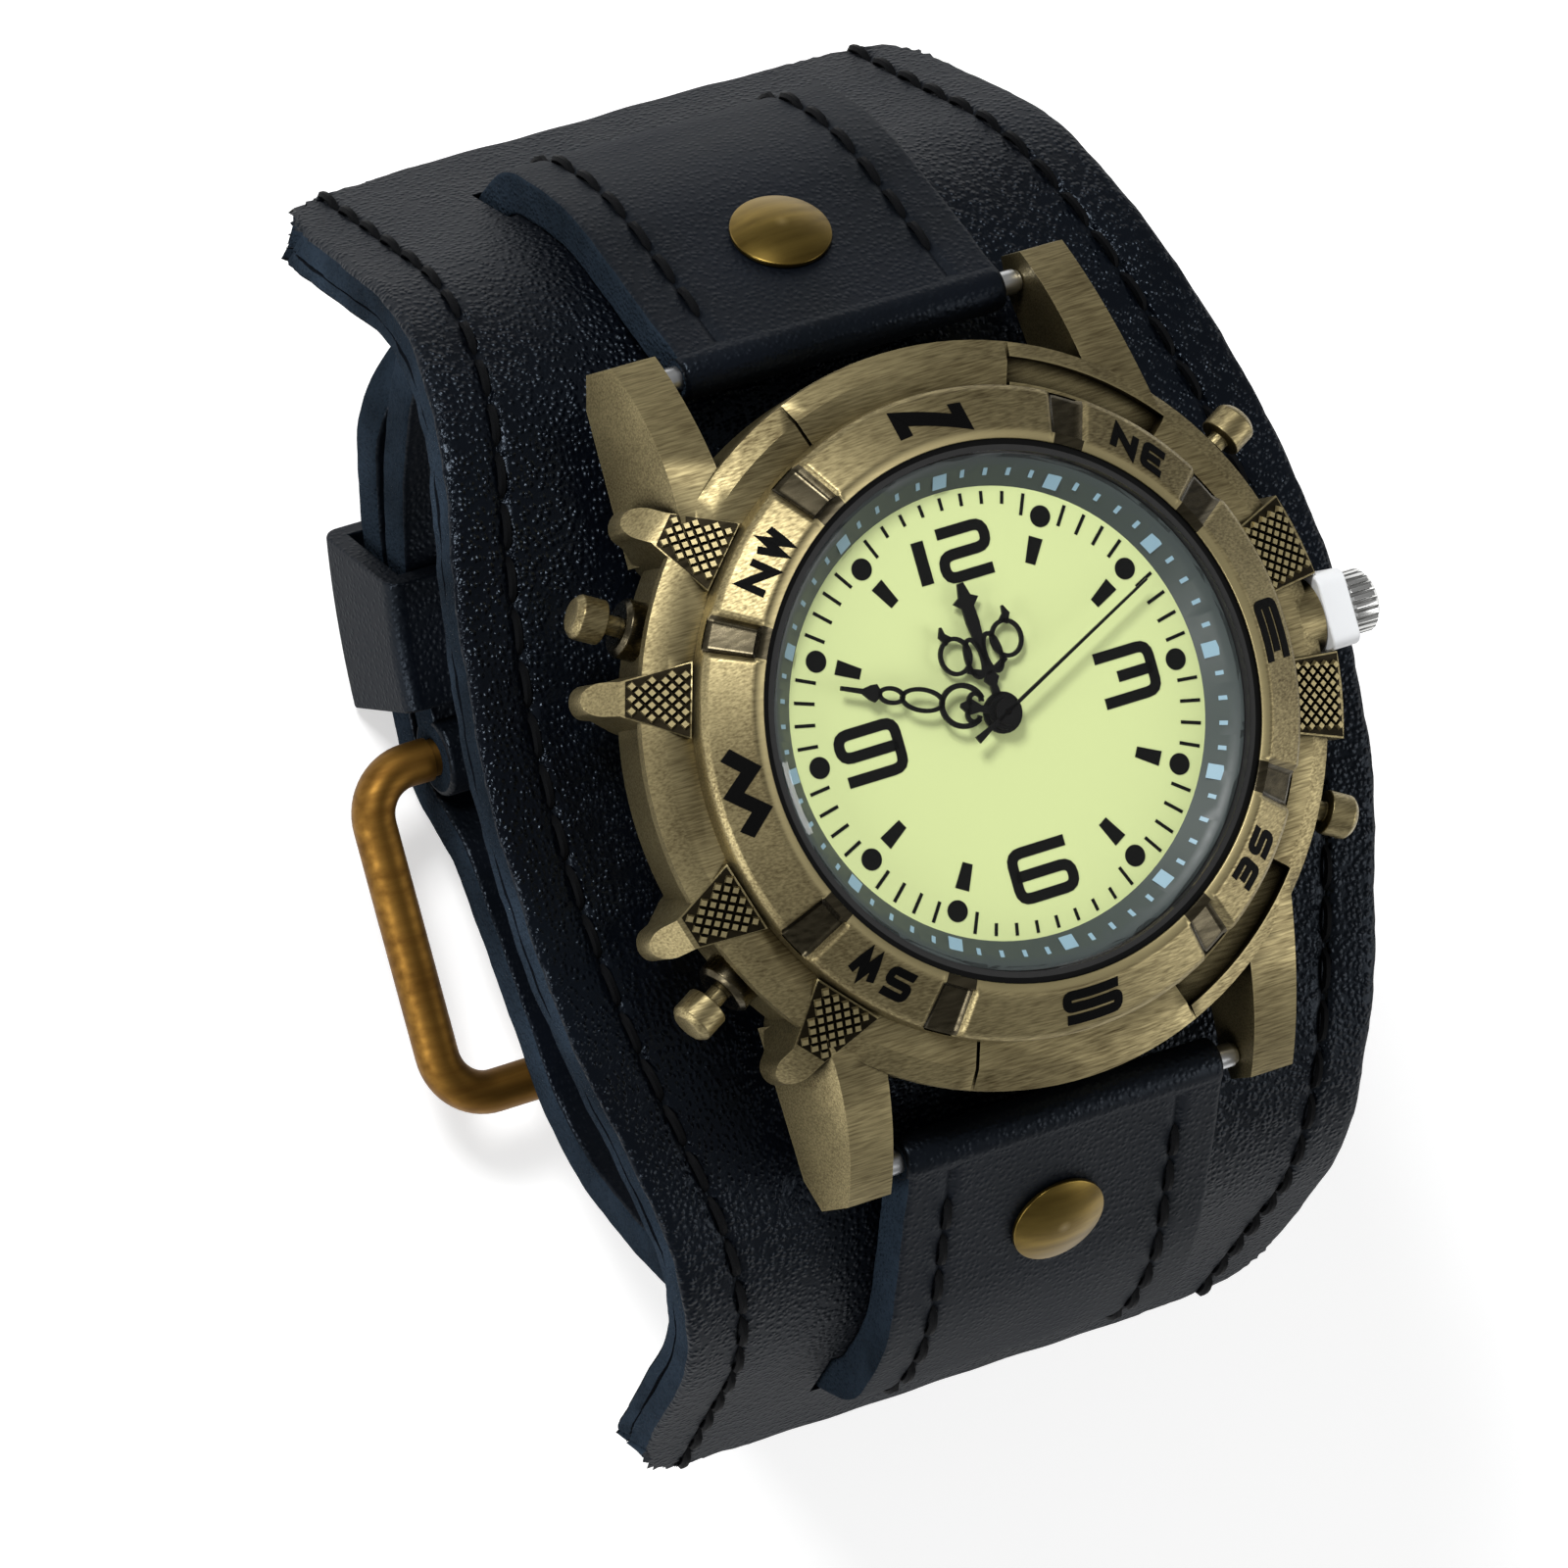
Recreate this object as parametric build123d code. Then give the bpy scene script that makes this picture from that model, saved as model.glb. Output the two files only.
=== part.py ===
from build123d import *
import math
import os

# Cuff watch: a round brass case on a wide leather cuff, held by two narrow straps.
# Lengths in millimetres, angles in degrees. The model is drawn about the dial centre:
# +X to 3 o'clock, +Y to 12 o'clock, +Z out of the dial, zero on the dial's face.
# At the end it is lifted so that its lowest point lies at zero.

overrun = 1.0
run_gap = 0.05
lay_gap = 0.1

# Dial, hands and glass
dial_radius = 14.6
dial_thickness = 0.4
dial_bore = 0.95
chapter_inner = 13.4
chapter_outer = 15.2
chapter_land = 0.25
crystal_radius = 15.3
crystal_base = 1.6
crystal_thickness = 1.1
crystal_bevel = 0.25
hand_thickness = 0.18
hour_hand_base = 0.45
minute_hand_base = 0.85
second_hand_base = 1.22
hour_hand_reach = 8.0
minute_hand_reach = 10.6
second_hand_reach = 12.1
second_tail_reach = 2.6
second_hand_width = 0.22
hand_wire = 0.28
hour_boss = 1.25
minute_boss = 1.05
second_boss = 0.8
hour_loop_shares = ((0.57, 0.2, 0.13, 0.14), (0.42, 0.1, 0.1, 0.1))
hour_bar_shares = (
    (0.05, 0.8, 0.035, 0.035),
    (0.72, 0.84, 0.035, 0.09),
    (0.84, 1.0, 0.09, 0.009),
)
minute_loop_shares = ((0.27, 0, 0.18, 0.13), (0.53, 0, 0.11, 0.06), (0.71, 0, 0.09, 0.05))
minute_bar_shares = ((0.79, 0.87, 0.026, 0.05), (0.86, 1.0, 0.026, 0.018))
second_taper_share = 0.6
hour_hand_angle = 93.0
minute_hand_angle = 157.0
second_hand_angle = 25.0

# Case middle, bezel and back
case_bore = 15.35
seat_radius = 15.65
seat_height = 1.2
neck_radius = 16.45
neck_top = 2.2
flange_top = -0.8
flange_lip = 20.9
flange_radius = 22.15
flange_edge = 0.65
flange_depth = 1.3
flank_radius = 21.6
flank_chamfer = 1.2
foot_radius = 20.2
body_base = -7.5
groove_height = 0.2
groove_depth = 0.3
spring_wire = 0.15
spring_gap = 5.0
bezel_gap = 0.1
bezel_outer = 19.3
bezel_peak = 2.4
bezel_rim = 0.8
bezel_lip = 0.35
notch_width_angle = 8.5
cardinal_block_angle = 50.0
notch_depth = 0.75
notch_floor_share = 0.5
channel_inner = 19.7
channel_outer = 21.25
channel_depth = 1.0
channel_start_angle = 20.0
channel_end_angle = 49.0
seam_width = 0.22
seam_depth = 0.3
back_thickness = 2.0
back_radius = 18.2
back_chamfer = 0.8
rim_outer = 14.8
rim_inner = 13.9
rim_height = 0.9
gasket_height = 0.8

# Claws on the left flank and guards beside the crown
claw_angles = (46.5, 72.2, 107.8, 133.5)
claw_inner_half = 2.25
claw_outer_half = 1.0
claw_inner_radius = 19.4
claw_knurl_length = 3.9
claw_nose_length = 1.6
claw_shoulder_radius = claw_inner_radius + claw_knurl_length
claw_nose_radius = claw_shoulder_radius + claw_nose_length
claw_top = -0.3
claw_shoulder_top = -1.9
claw_nose_height = -4.0
claw_heel_height = -6.3
claw_foot_height = -7.2
guard_inner_angle = 84.0
guard_outer_angle = 71.0
guard_radius = 23.1
guard_edge_top = -1.2

# Lugs and spring bars
lug_gap_half = 12.3
lug_root_half = 15.9
lug_tip_half = 14.2
lug_flare = 1.6
lug_root_y = 14.0
lug_tip_y = 25.6
lug_root_top = -1.0
lug_brow_y = 20.5
lug_brow_top = -2.7
lug_tip_top = -6.2
lug_tip_base = -8.9
lug_heel_y = 23.6
lug_heel_base = -9.4
lug_root_base = -7.4
bar_y = 24.0
bar_height = -7.4
bar_radius = 0.75
bar_tip_radius = 0.4
bar_tip_length = 0.9
bar_shoulder = 0.25

# Crown, stem, clip and pushers
stem_height = -3.2
stem_radius = 0.5
stem_start = 6.3
boss_radius = 2.3
boss_end = 22.7
tube_radius = 1.0
tube_bore = 0.55
tube_start = 16.2
clip_gap = 0.08
clip_thickness = 1.9
clip_half = 2.35
clip_corner = 0.8
clip_slot_half = 0.62
crown_radius = 1.95
crown_length = 2.0
crown_flutes = 24
crown_flute_depth = 0.18
crown_chamfer = 0.3
pusher_angle = 61.0
pusher_height = -4.6
pusher_travel = 0.8
pusher_shaft = 0.6
pusher_shaft_start = 16.5
pusher_head = 1.35
pusher_head_length = 1.9
pusher_head_edge = 0.35
pusher_waist = 0.85
sleeve_radius = 1.8
sleeve_start = 20.8
sleeve_end = 22.9
sleeve_chamfer = 0.3

# Leather cuff: its cross profile is an arch, a shoulder and a straight skirt
cuff_top = -9.7
arch_radius = 127.0
arch_angle = 10.0
shoulder_radius = 17.0
shoulder_angle = 57.0
skirt_length = 15.0
grain_layer = 1.9
lining_layer = 1.3
cuff_half_width = 28.5
cuff_side_radius = 65.0
cuff_side_y = 16.0
cuff_line_y = 24.0
cuff_waist_radius = 85.0
cuff_corner = 4.0

# Straps
strap_half_width = 10.8
strap_thickness = 2.8
bar_wrap_radius = 2.1
free_run = 1.8
dive_radius = 5.0
dive_angle = 38.0
dive_run = 10.0
slot_side_gap = 0.5
slot_face_gap = 0.25
upper_split_heading = 135.0
upper_end_heading = 175.0
lower_split_heading = 130.0
front_heading = 170.0
tail_lift_heading = 145.0
tail_lift_radius = 8.0
tail_land_heading = 190.0
tail_ease_radius = 70.0
tail_ease_angle = 10.0
tail_rest_angle = 8.0
tail_hole_radius = 1.2
tail_hole_pitch = 6.2
tail_hole_count = 4

# Rivets
rivet_run = 7.6
rivet_sink = 0.4
rivet_cap_radius = 3.1
rivet_cap_height = 0.95
rivet_cap_edge = 0.3
rivet_post_radius = 1.2
rivet_foot_radius = 2.4
rivet_foot_height = 0.5

# Buckle and keeper
heel_y = 4.4
heel_height = -61.2
heel_bar_radius = 1.2
front_y = -17.0
front_drop = 0.7
frame_half_width = 15.2
frame_wire_radius = 1.4
frame_corner = 3.2
wrap_leather = 1.4
tongue_radius = 0.85
tongue_eye_radius = 2.15
tongue_half_width = 1.1
tongue_overhang = 1.6
tongue_slot_half = 1.5
tongue_swing = 14.0
keeper_heading = 163.5
keeper_length = 9.6
keeper_wall = 1.4
keeper_side_gap = 0.6
keeper_face_gap = 0.3
keeper_slack = 1.1
keeper_corner = 1.2

# Movement: plates
holder_bore = 10.6
holder_outer = 15.2
holder_base = -6.5
plate_radius = 10.5
plate_top = -0.45
plate_thickness = 1.0
recess_depth = 0.7
bridge_top = -3.6
bridge_thickness = 0.4
bridge_margin = 1.1
pillar_radius = 0.7
pillar_left_x = -7.2
pillar_left_y = 3.4
pillar_near_x = 1.2
pillar_near_y = -3.95
pillar_far_x = -0.3
pillar_far_y = 5.6
screw_radius = 0.4
screw_head_radius = 0.75
screw_head_height = 0.4
screw_slot_width = 0.18
screw_slot_depth = 0.15
pivot_radius = 0.1
pivot_length = 0.25
pivot_gap = 0.03
arbor_radius = 0.15
arbor_end_gap = 0.05
wheel_thickness = 0.2

# Movement: tooth counts and module of each mesh
cannon_leaves = 12
minute_wheel_teeth = 36
minute_pinion_leaves = 10
hour_wheel_teeth = 40
setting_teeth = 20
clutch_teeth = 12
seconds_leaves = 8
third_teeth = 60
third_leaves = 8
centre_teeth = 64
seconds_teeth = 40
fifth_leaves = 8
fifth_teeth = 36
rotor_leaves = 6
motion_distance = 3.0
train_reach = 3.6
rotor_reach = 2.1
setting_x = 5.2
third_angle = 150.0
fifth_angle = 215.0
rotor_angle = 250.0
tooth_tip_share = 0.8
tooth_root_share = 1.1
tip_width_share = 0.12
root_width_share = 0.33

# Movement: heights of the wheels, each the lower face
hour_wheel_low = -0.78
motion_low = -1.1
setting_low = -2.3
centre_low = -1.85
third_low = -2.55
seconds_wheel_low = -3.05
fifth_low = -3.46
leaf_margin = 0.08
hour_pipe = 0.8
cannon_pipe = 0.52
cannon_foot = -2.0
seconds_arbor = 0.2
centre_hub = 0.9
clutch_radius = 1.2
clutch_length = 1.8
clutch_groove = 0.4
clutch_groove_radius = 0.85
clutch_tooth_length = 0.25
clutch_tooth_width = 0.2
clutch_tooth_root = 0.75
magnet_radius = 1.2
magnet_low = -2.95
magnet_height = 0.7
stator_low = -2.7
stator_thickness = 0.4
stator_ring = 1.8
stator_bore = 1.35
stator_bar_y = -5.15
stator_bar_half = 0.35
coil_y = -7.0
coil_left = -5.0
coil_right = 1.0
coil_half = 1.0
coil_mid = -2.9
core_reach = 1.9
core_half = 0.35
leg_half = 0.5
board_top = -4.1
board_thickness = 0.25
board_left = -6.9
board_right = 4.6
board_near = -8.2
board_far = -5.3
board_corner = 0.5
chip_radius = 0.8
chip_height = 0.5
can_radius = 0.75
can_length = 4.4
can_x = 2.0
can_y = -6.8
battery_x = 4.6
battery_y = 5.3
battery_radius = 3.4
battery_height = 2.6
battery_top = -1.5
battery_edge = 0.3
clamp_thickness = 0.2
clamp_half_width = 0.55
lever_thickness = 0.35
lever_near = -3.2
lever_left = 8.55
lever_right = 9.75
lever_peg = 0.25
yoke_left = 7.5
yoke_right = 8.35
yoke_near = -3.6
yoke_far = -1.35
bearing_left = 9.9
bearing_half = 1.1
stem_groove = 0.15
stem_groove_half = 0.35


def disc(radius, low, high):
    """Upright cylinder between two heights."""
    return Pos(0, 0, (low + high) / 2) * Cylinder(radius, high - low)


def ring(outer, inner, low, high):
    """Upright tube between two heights."""
    return disc(outer, low, high) - disc(inner, low - overrun, high + overrun)


def block(x_low, x_high, y_low, y_high, z_low, z_high):
    """Box between two corners."""
    middle = Pos((x_low + x_high) / 2, (y_low + y_high) / 2, (z_low + z_high) / 2)
    return middle * Box(x_high - x_low, y_high - y_low, z_high - z_low)


def turned(points):
    """Ring turned about Z from an outline of (radius, height) points."""
    outline = Polyline([(radius, 0, height) for radius, height in points], close=True)
    return revolve(make_face(outline), Axis.Z)


def plate(points, low, high):
    """Flat plate from an outline of (x, y) points, between two heights."""
    outline = Polyline([(x, y, low) for x, y in points], close=True)
    return extrude(make_face(outline), amount=high - low)


def rod(start_x, end_x, radius):
    """Cylinder along X on the stem's axis."""
    return Pos((start_x + end_x) / 2, 0, stem_height) * Rot(0, 90, 0) * Cylinder(radius, end_x - start_x)


def polar(radius, angle):
    """Point on a circle, the angle counted from 3 o'clock towards 12."""
    return radius * math.cos(math.radians(angle)), radius * math.sin(math.radians(angle))


def step_on(place, size, turn):
    """Place and heading after a straight run (turn 0) or a bend of the given radius."""
    y, z, heading = place
    old, new = math.radians(heading), math.radians(heading + turn)
    if turn == 0:
        return y + size * math.cos(old), z - size * math.sin(old), heading
    side = math.copysign(size, turn)
    y += side * (math.sin(new) - math.sin(old))
    z += side * (math.cos(new) - math.cos(old))
    return y, z, heading + turn


def along_bend(place, radius, heading):
    """Place on a bend's circle at a given heading, also ahead of the bend's start."""
    y, z, start = place
    old, new = math.radians(start), math.radians(heading)
    return y + radius * (math.sin(new) - math.sin(old)), z + radius * (math.cos(new) - math.cos(old)), heading


def follow(place, steps):
    """Last place of a trail of runs and bends."""
    for size, turn in steps:
        place = step_on(place, size, turn)
    return place


def run_length(size, turn):
    return size if turn == 0 else size * math.radians(abs(turn))


def place_along(place, steps, distance):
    """Place at a distance along a trail."""
    for size, turn in steps:
        length = run_length(size, turn)
        if distance < length:
            return step_on(place, *((distance, 0) if turn == 0 else (size, turn * distance / length)))
        distance -= length
        place = step_on(place, size, turn)
    return place


def aside(place, distance):
    """Point beside a trail, on its outer side when the distance is positive."""
    y, z, heading = place
    angle = math.radians(heading)
    return 0, y + distance * math.sin(angle), z + distance * math.cos(angle)


def edge_along(place, size, turn, distance):
    """One side of a band over one run or bend."""
    start, end = aside(place, distance), aside(step_on(place, size, turn), distance)
    if turn == 0:
        return Line(start, end)
    return ThreePointArc(start, aside(step_on(place, size, turn / 2), distance), end)


def band(place, steps, inside, outside):
    """Face in the YZ plane between two lines beside a trail of runs and bends.

    A heading of 0 points along +Y, 90 straight down, 180 back along -Y.
    """
    inner, outer = [], []
    start = place
    for size, turn in steps:
        outer.append(edge_along(place, size, turn, outside))
        inner.append(edge_along(place, size, turn, inside))
        place = step_on(place, size, turn)
    caps = [Line(aside(start, inside), aside(start, outside)), Line(aside(place, inside), aside(place, outside))]
    return make_face([*outer, *inner, *caps])


def across(face, half_width):
    """Strip of leather: a YZ face stretched both ways along X."""
    return extrude(face, amount=half_width, dir=(1, 0, 0), both=True)


def two_bends(place, split, end):
    """Radii of two bends that lead from a place to an end, changing over at the split heading."""
    y, z, heading = place
    end_y, end_z, end_heading = end
    sines = [math.sin(math.radians(angle)) for angle in (heading, split, end_heading)]
    cosines = [math.cos(math.radians(angle)) for angle in (heading, split, end_heading)]
    a, b = sines[1] - sines[0], sines[2] - sines[1]
    c, d = cosines[1] - cosines[0], cosines[2] - cosines[1]
    scale = a * d - b * c
    first = ((end_y - y) * d - (end_z - z) * b) / scale
    second = ((end_z - z) * a - (end_y - y) * c) / scale
    return [(first, split - heading), (second, end_heading - split)]


def tooth_radii(teeth, module):
    pitch = teeth * module / 2
    return pitch - tooth_root_share * module, pitch + tooth_tip_share * module


def gear(teeth, module, low, high, phase):
    """Spur wheel of straight-sided teeth about Z, one tooth pointing at the phase angle."""
    root, tip = tooth_radii(teeth, module)
    pitch_angle = 360 / teeth
    points = []
    for number in range(teeth):
        middle = phase + number * pitch_angle
        for radius, share in (
            (root, -root_width_share),
            (tip, -tip_width_share),
            (tip, tip_width_share),
            (root, root_width_share),
        ):
            points.append(polar(radius, middle + share * pitch_angle))
    return plate(points, low, high)


def meshed_phase(phase, teeth, other_teeth, direction):
    """Phase of a wheel that meshes with another one, which lies behind it in the given direction."""
    pitch_angle = 360 / teeth
    ahead = (phase - direction) % pitch_angle
    return direction + 180 - (ahead + pitch_angle / 2) * teeth / other_teeth


def direction_of(start, end):
    return math.degrees(math.atan2(end[1] - start[1], end[0] - start[0]))


# Places of the wheels and pillars
pillar_places = ((pillar_left_x, pillar_left_y), (pillar_near_x, pillar_near_y), (pillar_far_x, pillar_far_y))
centre_place = (0, 0)
third_place = polar(train_reach, third_angle)
fifth_place = polar(train_reach, fifth_angle)
rotor_step = polar(rotor_reach, rotor_angle)
rotor_place = (fifth_place[0] + rotor_step[0], fifth_place[1] + rotor_step[1])
setting_place = (setting_x, 0)
motion_module = motion_distance / ((cannon_leaves + minute_wheel_teeth) / 2)
hour_module = motion_distance / ((minute_pinion_leaves + hour_wheel_teeth) / 2)
setting_distance = motion_module * (setting_teeth + minute_wheel_teeth) / 2
minute_wheel_x = (motion_distance**2 - setting_distance**2 + setting_x**2) / (2 * setting_x)
minute_wheel_place = (minute_wheel_x, math.sqrt(motion_distance**2 - minute_wheel_x**2))
third_module = train_reach / ((seconds_leaves + third_teeth) / 2)
centre_module = train_reach / ((third_leaves + centre_teeth) / 2)
seconds_module = train_reach / ((fifth_leaves + seconds_teeth) / 2)
fifth_module = rotor_reach / ((rotor_leaves + fifth_teeth) / 2)
contact_radius = setting_low + wheel_thickness / 2 - stem_height
clutch_module = 2 * contact_radius / clutch_teeth

# Heights that follow from the sizes above
dial_base = -dial_thickness
crystal_top = crystal_base + crystal_thickness
bezel_base = flange_top + run_gap
plate_base = plate_top - plate_thickness
recess_floor = plate_top - recess_depth
bridge_base = bridge_top - bridge_thickness
back_base = body_base - back_thickness
crown_start = boss_end + clip_thickness + 2 * clip_gap
clutch_end = setting_x + tooth_radii(setting_teeth, clutch_module)[1] + clutch_tooth_length / 2
cuff_thickness = grain_layer + lining_layer
strap_half = strap_thickness / 2
strap_lift = lay_gap + strap_half
rivet_grip = strap_lift + cuff_thickness + rivet_sink
front_height = heel_height - front_drop


def case_profile():
    """Case middle with its flange, flank, foot and the neck that the bezel turns on."""
    return turned([
        (case_bore, body_base),
        (foot_radius, body_base),
        (flank_radius, body_base + flank_chamfer),
        (flank_radius, flange_top - flange_depth),
        (flange_radius, flange_top - flange_depth),
        (flange_radius, flange_top - flange_edge),
        (flange_lip, flange_top),
        (neck_radius, flange_top),
        (neck_radius, neck_top),
        (seat_radius, neck_top),
        (seat_radius, seat_height),
        (case_bore, seat_height),
    ])


def sector(inner, outer, start, end, low, high):
    """Part of a ring between two angles, counted from 12 o'clock towards 3."""
    span = outer + overrun
    half = (end - start) / 2
    reach = span / math.cos(math.radians(half))
    wedge = [(0, 0), polar(reach, 90 - start), polar(reach, 90 - end)]
    return ring(outer, inner, low, high) & plate(wedge, low, high)


def radial_slab(angle, profile, half_width):
    """Slab standing on a radius: an outline of (radius, height) points with an even thickness."""
    outline = Polyline([(radius, 0, height) for radius, height in profile], close=True)
    slab = extrude(make_face(outline), amount=half_width, dir=(0, 1, 0), both=True)
    return Rot(0, 0, 90 - angle) * slab


def claw(angle):
    """Gripping claw: wide at the bezel, narrow at its rounded nose."""
    side = [
        (flank_radius - claw_inner_half, claw_foot_height),
        (claw_inner_radius, claw_top),
        (claw_shoulder_radius, claw_shoulder_top),
        (claw_nose_radius, claw_nose_height),
        (claw_nose_radius, claw_heel_height + claw_outer_half / 2),
        (claw_shoulder_radius, claw_heel_height),
        (flank_radius, claw_foot_height),
    ]
    outline = Polyline([(radius, 0, height) for radius, height in side], close=True)
    body = extrude(make_face(outline), amount=claw_inner_half + overrun, dir=(0, 1, 0), both=True)
    plan = make_face([
        Line((claw_inner_radius, -claw_inner_half), (claw_shoulder_radius, -claw_outer_half)),
        Line((claw_shoulder_radius, -claw_outer_half), (claw_nose_radius - claw_outer_half, -claw_outer_half)),
        ThreePointArc(
            (claw_nose_radius - claw_outer_half, -claw_outer_half),
            (claw_nose_radius, 0),
            (claw_nose_radius - claw_outer_half, claw_outer_half),
        ),
        Line((claw_nose_radius - claw_outer_half, claw_outer_half), (claw_shoulder_radius, claw_outer_half)),
        Line((claw_shoulder_radius, claw_outer_half), (claw_inner_radius, claw_inner_half)),
        Line((claw_inner_radius, claw_inner_half), (claw_inner_radius, -claw_inner_half)),
    ])
    column = Pos(0, 0, body_base) * extrude(plan, amount=bezel_peak - body_base)
    return Rot(0, 0, 90 + angle) * (body & column)


def guard(start, end):
    """Crown guard: a knurled block beside the crown, sloping outwards."""
    side = [
        (claw_inner_radius, body_base + flank_chamfer),
        (claw_inner_radius, claw_top),
        (guard_radius, guard_edge_top),
        (guard_radius, claw_heel_height),
    ]
    reach = guard_radius + overrun
    wedge = [(0, 0), polar(reach, 90 - start), polar(reach, 90 - end)]
    return turned(side) & plate(wedge, body_base, bezel_peak)


def lug():
    """Lug at 12 o'clock on the right: a horn with a top facet and a sloping outer facet."""
    side = make_face([
        Line((0, lug_root_y, lug_root_base), (0, lug_root_y, lug_root_top)),
        ThreePointArc(
            (0, lug_root_y, lug_root_top),
            (0, lug_brow_y, lug_brow_top),
            (0, lug_tip_y, lug_tip_top),
        ),
        Line((0, lug_tip_y, lug_tip_top), (0, lug_tip_y, lug_tip_base)),
        Line((0, lug_tip_y, lug_tip_base), (0, lug_heel_y, lug_heel_base)),
        Line((0, lug_heel_y, lug_heel_base), (0, lug_root_y, lug_root_base)),
    ])
    wall = extrude(side, amount=lug_root_half + lug_flare + overrun, dir=(1, 0, 0))
    sections = [
        Polyline([
            (lug_gap_half, y, lug_heel_base),
            (lug_gap_half, y, lug_root_top),
            (half, y, lug_root_top),
            (half + lug_flare, y, lug_heel_base),
        ], close=True)
        for y, half in ((lug_root_y, lug_root_half), (lug_tip_y, lug_tip_half))
    ]
    horn = loft([make_face(section) for section in sections], ruled=True)
    return wall & horn


def spring_bar_hole():
    length = lug_gap_half + bar_tip_length + run_gap
    return Pos(0, bar_y, bar_height) * Rot(0, 90, 0) * Cylinder(bar_tip_radius + run_gap, 2 * length)


def four_corners(shape):
    """A shape at the upper right, with its mirror images."""
    pair = [shape, mirror(shape, Plane.YZ)]
    return pair + [mirror(item, Plane.XZ) for item in pair]


def on_pusher_axis(shape, angle):
    """Turns a shape drawn about X to a pusher's axis."""
    return Rot(0, 0, 90 - angle) * (Pos(0, 0, pusher_height) * (Rot(0, 90, 0) * shape))


def lying_disc(radius, start, end):
    """Cylinder drawn along Z, to be laid along a pusher's axis."""
    return Pos(0, 0, (start + end) / 2) * Cylinder(radius, end - start)


pusher_places = {
    "pusher_2": pusher_angle,
    "pusher_4": 180 - pusher_angle,
    "pusher_8": 180 + pusher_angle,
    "pusher_10": 360 - pusher_angle,
}


def case_body():
    body = case_profile()
    for angle in claw_angles:
        body += claw(angle)
    body += guard(guard_outer_angle, guard_inner_angle)
    body += guard(180 - guard_inner_angle, 180 - guard_outer_angle)
    body += rod(case_bore + overrun, boss_end, boss_radius)
    for horn in four_corners(lug()):
        body += horn
    body -= disc(case_bore, body_base - overrun, seat_height + overrun)
    for start, end in (
        (channel_start_angle, channel_end_angle),
        (180 - channel_end_angle, 180 - channel_start_angle),
    ):
        body -= sector(channel_inner, channel_outer, start, end, flange_top - channel_depth, flange_top + overrun)
    for angle in (channel_start_angle, -channel_start_angle, 180 - channel_start_angle, 180 + channel_start_angle):
        seam = [
            (bezel_outer, flange_top + overrun),
            (flange_radius + overrun, flange_top + overrun),
            (flange_radius + overrun, flange_top - flange_edge - seam_depth),
            (flange_lip, flange_top - seam_depth),
            (bezel_outer, flange_top - seam_depth),
        ]
        body -= radial_slab(angle, seam, seam_width / 2)
    groove_low = groove_height - groove_depth / 2 - run_gap
    groove_high = groove_height + groove_depth / 2 + run_gap
    body -= ring(neck_radius + overrun, neck_radius - groove_depth, groove_low, groove_high)
    body -= rod(case_bore - overrun, boss_end + overrun, tube_radius)
    for angle in pusher_places.values():
        bore = lying_disc(pusher_shaft + run_gap, case_bore - overrun, sleeve_end)
        body -= on_pusher_axis(bore, angle)
        body -= on_pusher_axis(lying_disc(sleeve_radius, sleeve_start, sleeve_end + overrun), angle)
    for hole in (spring_bar_hole(), mirror(spring_bar_hole(), Plane.XZ)):
        body -= hole
    return body


def bezel():
    """Compass ring: a sloping ring cut into four long and four short blocks by scooped notches."""
    bore = neck_radius + bezel_gap
    body = turned([
        (bore, bezel_base),
        (bezel_outer, bezel_base),
        (bezel_outer, bezel_rim),
        (bezel_outer - bezel_lip, bezel_rim + bezel_lip),
        (bore, bezel_peak),
    ])
    groove_low = groove_height - groove_depth / 2 - run_gap
    groove_high = groove_height + groove_depth / 2 + run_gap
    body -= ring(bore + groove_depth, bore - overrun, groove_low, groove_high)
    start = bore - overrun
    slope = math.atan((bezel_peak - bezel_rim - bezel_lip) / (bezel_outer - bezel_lip - bore))
    mouth = bezel_peak + overrun * math.tan(slope)
    floor = mouth - notch_depth
    half_mouth = bezel_outer * math.sin(math.radians(notch_width_angle / 2))
    half_floor = half_mouth * notch_floor_share
    section = [(start, half_floor, floor), (start, half_mouth, mouth), (start, half_mouth, mouth + notch_depth)]
    section += [(start, -y, z) for _, y, z in reversed(section)]
    reach = (bezel_outer + overrun - start) / math.cos(slope)
    scoop = extrude(make_face(Polyline(section, close=True)), amount=reach, dir=(math.cos(slope), 0, -math.sin(slope)))
    for quarter in range(4):
        for side in (-1, 1):
            angle = quarter * 90 + side * (cardinal_block_angle + notch_width_angle) / 2
            body -= Rot(0, 0, angle) * scoop
    return body


def bezel_spring():
    """Open spring ring in the grooves of the neck and the bezel."""
    middle = neck_radius + bezel_gap / 2
    body = ring(middle + spring_wire, middle - spring_wire, groove_height - spring_wire, groove_height + spring_wire)
    opening = block(0, middle + overrun, -spring_gap / 2, spring_gap / 2, groove_height - overrun, groove_height + overrun)
    return body - opening


def chapter_ring():
    return turned([
        (chapter_inner, 0),
        (chapter_outer, 0),
        (chapter_outer, crystal_base),
        (chapter_outer - chapter_land, crystal_base),
    ])


def crystal():
    edge = crystal_radius - crystal_bevel
    return turned([
        (0, crystal_base),
        (crystal_radius, crystal_base),
        (crystal_radius, crystal_top - crystal_bevel),
        (edge, crystal_top),
        (0, crystal_top),
    ])


def crystal_gasket():
    return ring(seat_radius, crystal_radius, seat_height, neck_top)


def dial():
    return ring(dial_radius, dial_bore, dial_base, 0)


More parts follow.
